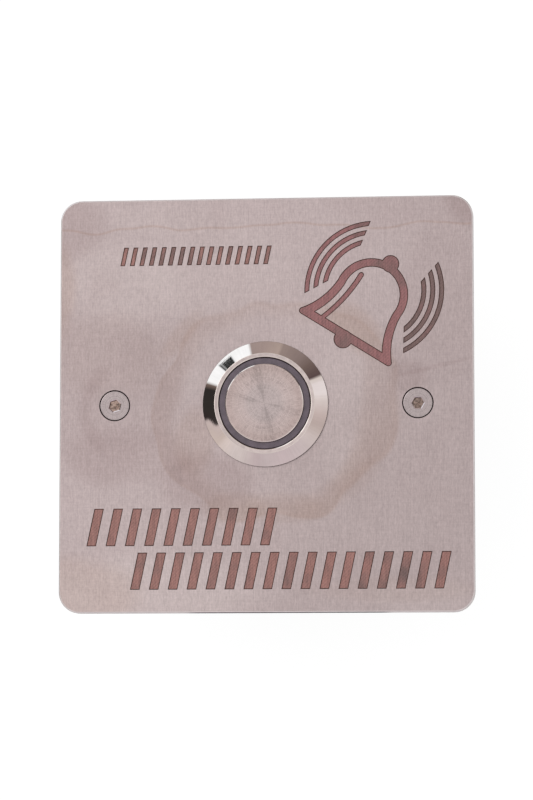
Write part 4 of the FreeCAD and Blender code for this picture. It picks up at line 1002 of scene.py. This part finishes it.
class CALLBUTTON_OT_screws(bpy.types.Operator):
    """Makes the two countersunk screws with their hexagon sockets"""

    bl_idname = "call_button.screws"
    bl_label = "Plate Screws"

    SHANK, HEAD, FLATS, DEPTH = 1.3 * MM, 2.85 * MM, 2.1 * MM, 1.2 * MM
    THREAD, PITCH, THREAD_TOP, THREAD_FACETS = 1.48 * MM, 0.5 * MM, 1.8 * MM, 24
    CHAMFER, CHAMFER_DROP = 0.10 * MM, 0.03 * MM
    LIP, LIP_DROP = 0.15 * MM, 0.09 * MM
    # The drilled cone at the socket's bottom, the plain neck under the head and the chamfer at the foot.
    CONE_WIDTH, CONE_DEPTH, CONE_TIP = 0.86, 0.45 * MM, 1e-4
    NECK, NECK_DROP, POINT, POINT_WIDTH = 0.4 * MM, 0.1 * MM, 0.3 * MM, 0.7
    # For the right and the left screw: how far its socket is turned, and how much painted light brightens its
    # socket's floor.
    TWISTS, CLEAN = (0.0, 18.0), (1.40, 2.05)

    def execute(self, context):
        plate = settings("plate")
        low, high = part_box("plate_screws")
        reach = high.x - self.HEAD
        # The lip round each socket's mouth, painted brighter than the head as a highlight.
        lip = machined("socket_lip_glint", tinted(plate.screw_steel, 1.35), 0.12)
        for side, twist, clean, name in zip((1, -1), self.TWISTS, self.CLEAN, ("screw_right", "screw_left")):
            steel = turned_steel(f"{name}_steel", plate.screw_steel, (side * reach / MM, 0.0), 0.18, 0.24)
            bm = self.screw(high.z, low.z, plate.screw_segments)
            turn(bm, twist, bm.verts)
            bmesh.ops.translate(bm, vec=(side * reach, 0, 0), verts=bm.verts)
            piece = new_piece(name, bm, steel, socket_steel(f"{name}_socket", clean), lip, sharp=12.0)
            if side > 0:
                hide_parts("plate_screws")
        return {"FINISHED"}

    def screw(self, top, low, segments):
        """Built inwards from the head's face, socket and drilled cone, then outwards, chamfer to shank."""
        bm = bmesh.new()
        spoke = (self.FLATS / 2 + self.LIP) / math.cos(math.pi / 6)
        bmesh.ops.create_circle(bm, cap_ends=False, segments=6, radius=spoke)
        bmesh.ops.subdivide_edges(bm, edges=bm.edges[:], cuts=segments // 6 - 1)
        turn(bm, -90, bm.verts)
        mouth = bm.edges[:]
        face_radius = self.HEAD - self.CHAMFER
        circle = bmesh.ops.create_circle(bm, cap_ends=False, segments=segments, radius=face_radius)["verts"]
        turn(bm, -90, circle)
        outer = [edge for edge in bm.edges if edge not in mouth]
        bmesh.ops.translate(bm, vec=(0, 0, top), verts=bm.verts)
        bmesh.ops.bridge_loops(bm, edges=mouth + outer)

        def carry(edges, drop, scale):
            """Extrudes a loop down and draws it in or out about the axis."""
            made = bmesh.ops.extrude_edge_only(bm, edges=edges)["geom"]
            verts = only_verts(made)
            bmesh.ops.translate(bm, vec=(0, 0, -drop), verts=verts)
            bmesh.ops.scale(bm, vec=(scale, scale, 1), verts=verts)
            return [
                one for one in made
                if isinstance(one, bmesh.types.BMEdge) and all(vert in verts for vert in one.verts)]

        face = set(bm.faces)
        hole = carry(mouth, self.LIP_DROP, self.FLATS / (self.FLATS + 2 * self.LIP))
        lip = set(bm.faces) - face
        for drop, scale in (
                (self.DEPTH - self.LIP_DROP, 1.0), (0.0, self.CONE_WIDTH), (self.CONE_DEPTH, self.CONE_TIP)):
            hole = carry(hole, drop, scale)
        for one in set(bm.faces) - face:
            one.material_index = 2 if one in lip else 1
        rim = outer
        for drop, scale in (
                (self.CHAMFER_DROP, self.HEAD / face_radius),
                (self.HEAD - self.THREAD, self.THREAD / self.HEAD), (self.NECK, 1.0),
                (self.NECK_DROP, self.SHANK / self.THREAD)):
            rim = carry(rim, drop, scale)
        foot = max(vert.co.z for edge in rim for vert in edge.verts) - low - self.POINT
        rim = carry(carry(rim, foot, 1.0), self.POINT, self.POINT_WIDTH)
        bmesh.ops.edgeloop_fill(bm, edges=rim)
        thread_ridge(
            bm, self.SHANK - 0.02 * MM, self.THREAD, low + 0.2 * MM, top - self.THREAD_TOP, self.PITCH,
            self.THREAD_FACETS)
        return bm


class CALLBUTTON_OT_gasket(bpy.types.Operator):
    """Makes the rubber gasket under the plate"""

    bl_idname = "call_button.gasket"
    bl_label = "Gasket"

    def execute(self, context):
        bm = clean_copy("plate_gasket")
        round_off(bm, creases(bm, 50), 0.12 * MM)
        piece = new_piece("rubber_gasket", bm, rubber("gasket_rubber", settings("housing").gasket))
        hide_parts("plate_gasket")
        return {"FINISHED"}


# ---------------------------------------------------------------- the switch

class CALLBUTTON_OT_switch_body(bpy.types.Operator):
    """Makes the polished, bevelled and threaded body of the switch"""

    bl_idname = "call_button.switch_body"
    bl_label = "Switch Body"

    SHOULDER, LOWER_BORE = -1.5 * MM, 9.9 * MM
    THREAD_DEPTH, THREAD_GAP, RIDGE_GAP, THREAD_FACETS = 0.55 * MM, 0.9 * MM, 0.8 * MM, 72
    GROOVE, WALL = 1.3 * MM, 0.5 * MM  # The seal's groove, and the wall outside it, from the head's rim.

    def execute(self, context):
        switch = settings("switch")
        low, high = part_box("switch_bushing")
        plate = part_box("face_plate")[1].z
        head, rim = high.x, plate + switch.rim_height
        crest, core = switch.thread_radius, switch.thread_radius - self.THREAD_DEPTH
        bore, thread_top = switch.bore_radius, plate - self.THREAD_GAP
        groove, wall = head - self.GROOVE, head - self.WALL
        bm = spun((
            (bore, self.SHOULDER), (self.LOWER_BORE, self.SHOULDER), (self.LOWER_BORE, low.z), (core, low.z),
            (core, thread_top), (crest, thread_top), (crest, plate), (groove, plate), (groove, rim),
            (wall, rim), (wall, plate), (head, plate), (head, rim), (switch.land_radius, high.z),
            (bore + switch.mouth_bevel, high.z), (bore, high.z - switch.mouth_bevel_drop)), switch.segments)
        round_off(bm, creases(bm, 15, plate - SKIN), switch.edge_round, 3)
        for one in bm.faces:
            middle = one.calc_center_median()
            if middle.z > high.z - SKIN:
                one.material_index = 1
            # The upright rim takes the painted shade.
            elif plate < middle.z < rim and middle.xy.length > head - 0.02 * MM:
                one.material_index = 2
        thread_ridge(
            bm, core - 0.02 * MM, crest, low.z + 0.1 * MM, plate - self.RIDGE_GAP, switch.thread_pitch,
            self.THREAD_FACETS)
        piece = new_piece(
            "switch_body", bm, polished_steel("polished_steel"), lapped_steel(), rim_painted_shade(), sharp=25.0)
        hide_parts("switch_bushing")
        return {"FINISHED"}


class CALLBUTTON_OT_cap(bpy.types.Operator):
    """Makes the turned steel cap of the button"""

    bl_idname = "call_button.cap"
    bl_label = "Button Cap"

    UNDER, STUD = 3.8 * MM, 2.0 * MM  # Height of the disc's underside, and radius of the stud below it.
    # Painted reflection: dark rays on the turned face, given as (angle in degrees, what is left of the ray at
    # the rim).
    DARK_REFLECTION_RAYS = ((-14, 0.35), (103, 0.60), (166, 0.50), (283, 0.15))

    def execute(self, context):
        switch = settings("switch")
        low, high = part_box("button_cap")
        radius, shoulder = high.x, high.x - switch.cap_bevel
        bm = spun((
            (0, low.z), (self.STUD, low.z), (self.STUD, self.UNDER), (radius, self.UNDER),
            (radius, high.z - switch.cap_bevel_drop), (shoulder, high.z), (0, high.z)), switch.segments)
        shown = self.UNDER + 0.1 * MM
        round_off(bm, creases(bm, 15, shown), 0.03 * MM)
        for one in bm.faces:
            middle = one.calc_center_median()
            one.material_index = int(middle.xy.length > shoulder and middle.z > shown)
        steel = turned_steel("turned_cap", switch.cap_steel, pitch=0.14, rays=self.DARK_REFLECTION_RAYS)
        piece = new_piece("turned_cap", bm, steel, polished_steel("cap_bevel"), body=BUTTON, sharp=20.0)
        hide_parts("button_cap")
        return {"FINISHED"}


class CALLBUTTON_OT_lit_ring(bpy.types.Operator):
    """Makes the smoked light guide whose top is the ring round the cap"""

    bl_idname = "call_button.lit_ring"
    bl_label = "Lit Ring"

    def execute(self, context):
        bm = clean_copy("light_guide")
        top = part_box("light_guide")[1].z
        round_off(bm, creases(bm, 25, top - 0.05 * MM), 0.06 * MM, 3)
        piece = new_piece("lit_ring", bm, smoked_ring(), body=BUTTON, sharp=25.0)
        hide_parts("light_guide")
        return {"FINISHED"}


class CALLBUTTON_OT_return_spring(bpy.types.Operator):
    """Makes the coil spring as a piece with a mesh of its own"""

    bl_idname = "call_button.return_spring"
    bl_label = "Return Spring"

    def execute(self, context):
        low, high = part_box("return_spring")
        wire = machined("spring_wire", settings("works").spring, 0.22, (0.1, 0.1, 0.1))
        piece = new_piece("coil_spring", clean_copy("return_spring"), wire, sharp=40.0, even=False)
        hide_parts("return_spring")
        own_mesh(piece)
        return {"FINISHED"}


# ---------------------------------------------------------------- the housing and the works

class CALLBUTTON_OT_housing(bpy.types.Operator):
    """Makes the moulded housing with softened edges"""

    bl_idname = "call_button.housing"
    bl_label = "Housing"

    OUTSIDE, BASE = 32.5 * MM, -41.0 * MM  # Corners past this radius or below this height show from outside.

    def execute(self, context):
        housing = settings("housing")
        bm = clean_copy("housing")
        outside = [
            edge for edge in creases(bm, 35)
            if all(vert.co.xy.length > self.OUTSIDE or vert.co.z < self.BASE for vert in edge.verts)]
        round_off(bm, outside, housing.edge_round)
        piece = new_piece("moulded_housing", bm, moulded("housing_plastic", housing.plastic))
        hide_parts("housing")
        return {"FINISHED"}


class CALLBUTTON_OT_fastenings(bpy.types.Operator):
    """Finishes the nut, the washer, the inserts and the seals"""

    bl_idname = "call_button.fastenings"
    bl_label = "Fastenings and Seals"

    BRASS, NITRILE = (0.62, 0.42, 0.16), (0.018, 0.018, 0.019)

    def execute(self, context):
        works = settings("works")
        seal = rubber("seal_rubber", self.NITRILE)
        dress({
            "lock_nut": machined("nut_plating", works.nickel),
            "lock_washer": machined("washer_steel", works.spring, 0.3),
            "screw_inserts": machined("insert_brass", self.BRASS, 0.3, (0.3, 0.3, 0.3)),
            "bushing_seal": seal, "plunger_ring": seal})
        return {"FINISHED"}


class CALLBUTTON_OT_contacts(bpy.types.Operator):
    """Finishes the contacts, their blades and the moulded parts that hold them"""

    bl_idname = "call_button.contacts"
    bl_label = "Contacts"

    NYLON, SLEEVE_RED = (0.020, 0.020, 0.022), (0.36, 0.030, 0.025)

    def execute(self, context):
        works = settings("works")
        alloy = machined("contact_alloy", works.copper, 0.22, (0.1, 3, 3))
        nylon = moulded("switch_nylon", self.NYLON, 0.46, 0.18, 0.012)
        dress({
            "contact_bridge": alloy, "signal_terminals": alloy, "lamp_terminals": alloy,
            "bridge_clip": machined("clip_steel", works.spring, 0.26),
            "contact_housing": nylon, "terminal_base": nylon,
            "blade_sleeves": lead_sleeve("sleeve_red", self.SLEEVE_RED)})
        return {"FINISHED"}


class CALLBUTTON_OT_lamps(bpy.types.Operator):
    """Finishes the lamp board and its four lamps"""

    bl_idname = "call_button.lamps"
    bl_label = "Lamps"

    WHITE_RESIST = (0.75, 0.75, 0.72)

    def execute(self, context):
        dress({"ring_lamps": lamp_body(), "lamp_board": printed_board("lamp_board", self.WHITE_RESIST)})
        return {"FINISHED"}


class CALLBUTTON_OT_transmitter(bpy.types.Operator):
    """Finishes the transmitter board and the parts on it"""

    bl_idname = "call_button.transmitter"
    bl_label = "Transmitter"

    EPOXY, SLEEVE_BLUE, NATURAL_NYLON = (0.016, 0.016, 0.017), (0.012, 0.018, 0.050), (0.72, 0.69, 0.60)

    def execute(self, context):
        works = settings("works")
        dress({
            "transmitter_board": printed_board("transmitter_board", works.board),
            "radio_chip": moulded("chip_epoxy", self.EPOXY, 0.42, 0.12, 0.008),
            "resonator": machined("can_metal", works.nickel, 0.2),
            "antenna_coil": machined("aerial_wire", works.copper, 0.28, (0.2, 0.2, 0.2)),
            "capacitor": lead_sleeve("capacitor_sleeve", self.SLEEVE_BLUE),
            "lead_connector": moulded("connector_nylon", self.NATURAL_NYLON, 0.36, 0.2, 0.006),
            "board_screws": machined("board_screw_steel", works.nickel, 0.24)})
        return {"FINISHED"}


class CALLBUTTON_OT_battery(bpy.types.Operator):
    """Finishes the battery, its holder and its contacts"""

    bl_idname = "call_button.battery"
    bl_label = "Battery"

    POLYPROPYLENE = (0.017, 0.017, 0.018)

    def execute(self, context):
        works = settings("works")
        dress({
            "battery": cell_jacket(), "battery_holder": moulded("holder_plastic", self.POLYPROPYLENE, 0.5),
            "battery_contacts": machined("contact_nickel", works.nickel, 0.16, (3, 0.1, 3)),
            "battery_spring": machined("battery_spring_wire", works.nickel, 0.2, (0.1, 0.1, 0.1))})
        return {"FINISHED"}


class CALLBUTTON_OT_leads(bpy.types.Operator):
    """Finishes the four leads between the switch and the transmitter"""

    bl_idname = "call_button.leads"
    bl_label = "Leads"

    LEADS = (
        ("signal_lead_left", "lead_yellow", (0.66, 0.42, 0.02)),
        ("signal_lead_right", "lead_white", (0.70, 0.70, 0.66)),
        ("lamp_lead_front", "lead_red", (0.40, 0.018, 0.014)),
        ("lamp_lead_rear", "lead_black", (0.014, 0.014, 0.014)))

    def execute(self, context):
        dress({node: lead_sleeve(name, base) for node, name, base in self.LEADS})
        return {"FINISHED"}


# ---------------------------------------------------------------- the panel and the order of work

PIECES = (
    CALLBUTTON_OT_studio, CALLBUTTON_OT_plate, CALLBUTTON_OT_marks, CALLBUTTON_OT_screws,
    CALLBUTTON_OT_gasket, CALLBUTTON_OT_switch_body, CALLBUTTON_OT_cap, CALLBUTTON_OT_lit_ring,
    CALLBUTTON_OT_return_spring, CALLBUTTON_OT_housing, CALLBUTTON_OT_fastenings, CALLBUTTON_OT_contacts,
    CALLBUTTON_OT_lamps, CALLBUTTON_OT_transmitter, CALLBUTTON_OT_battery, CALLBUTTON_OT_leads,
)


class CALLBUTTON_PT_panel(bpy.types.Panel):
    """Lists the call button's pieces and their settings"""

    bl_idname = "CALLBUTTON_PT_panel"
    bl_label = "Call Button"
    bl_space_type = "VIEW_3D"
    bl_region_type = "UI"
    bl_category = "Call Button"

    def draw(self, context):
        for piece in PIECES:
            self.layout.operator(piece.bl_idname)
        for group, kind in SETTINGS.items():
            box = self.layout.box()
            box.label(text=group.title())
            for name in kind.__annotations__:
                box.prop(settings(group), name)


def register():
    for kind in (*SETTINGS.values(), *PIECES, CALLBUTTON_PT_panel):
        bpy.utils.register_class(kind)
    for group, kind in SETTINGS.items():
        setattr(bpy.types.Scene, f"call_button_{group}", PointerProperty(type=kind))


def unregister():
    for group in SETTINGS:
        delattr(bpy.types.Scene, f"call_button_{group}")
    for kind in (CALLBUTTON_PT_panel, *reversed(PIECES), *reversed(SETTINGS.values())):
        bpy.utils.unregister_class(kind)


def main():
    register()
    for piece in PIECES:
        family, name = piece.bl_idname.split(".")
        getattr(getattr(bpy.ops, family), name)()


if __name__ == "__main__":
    main()
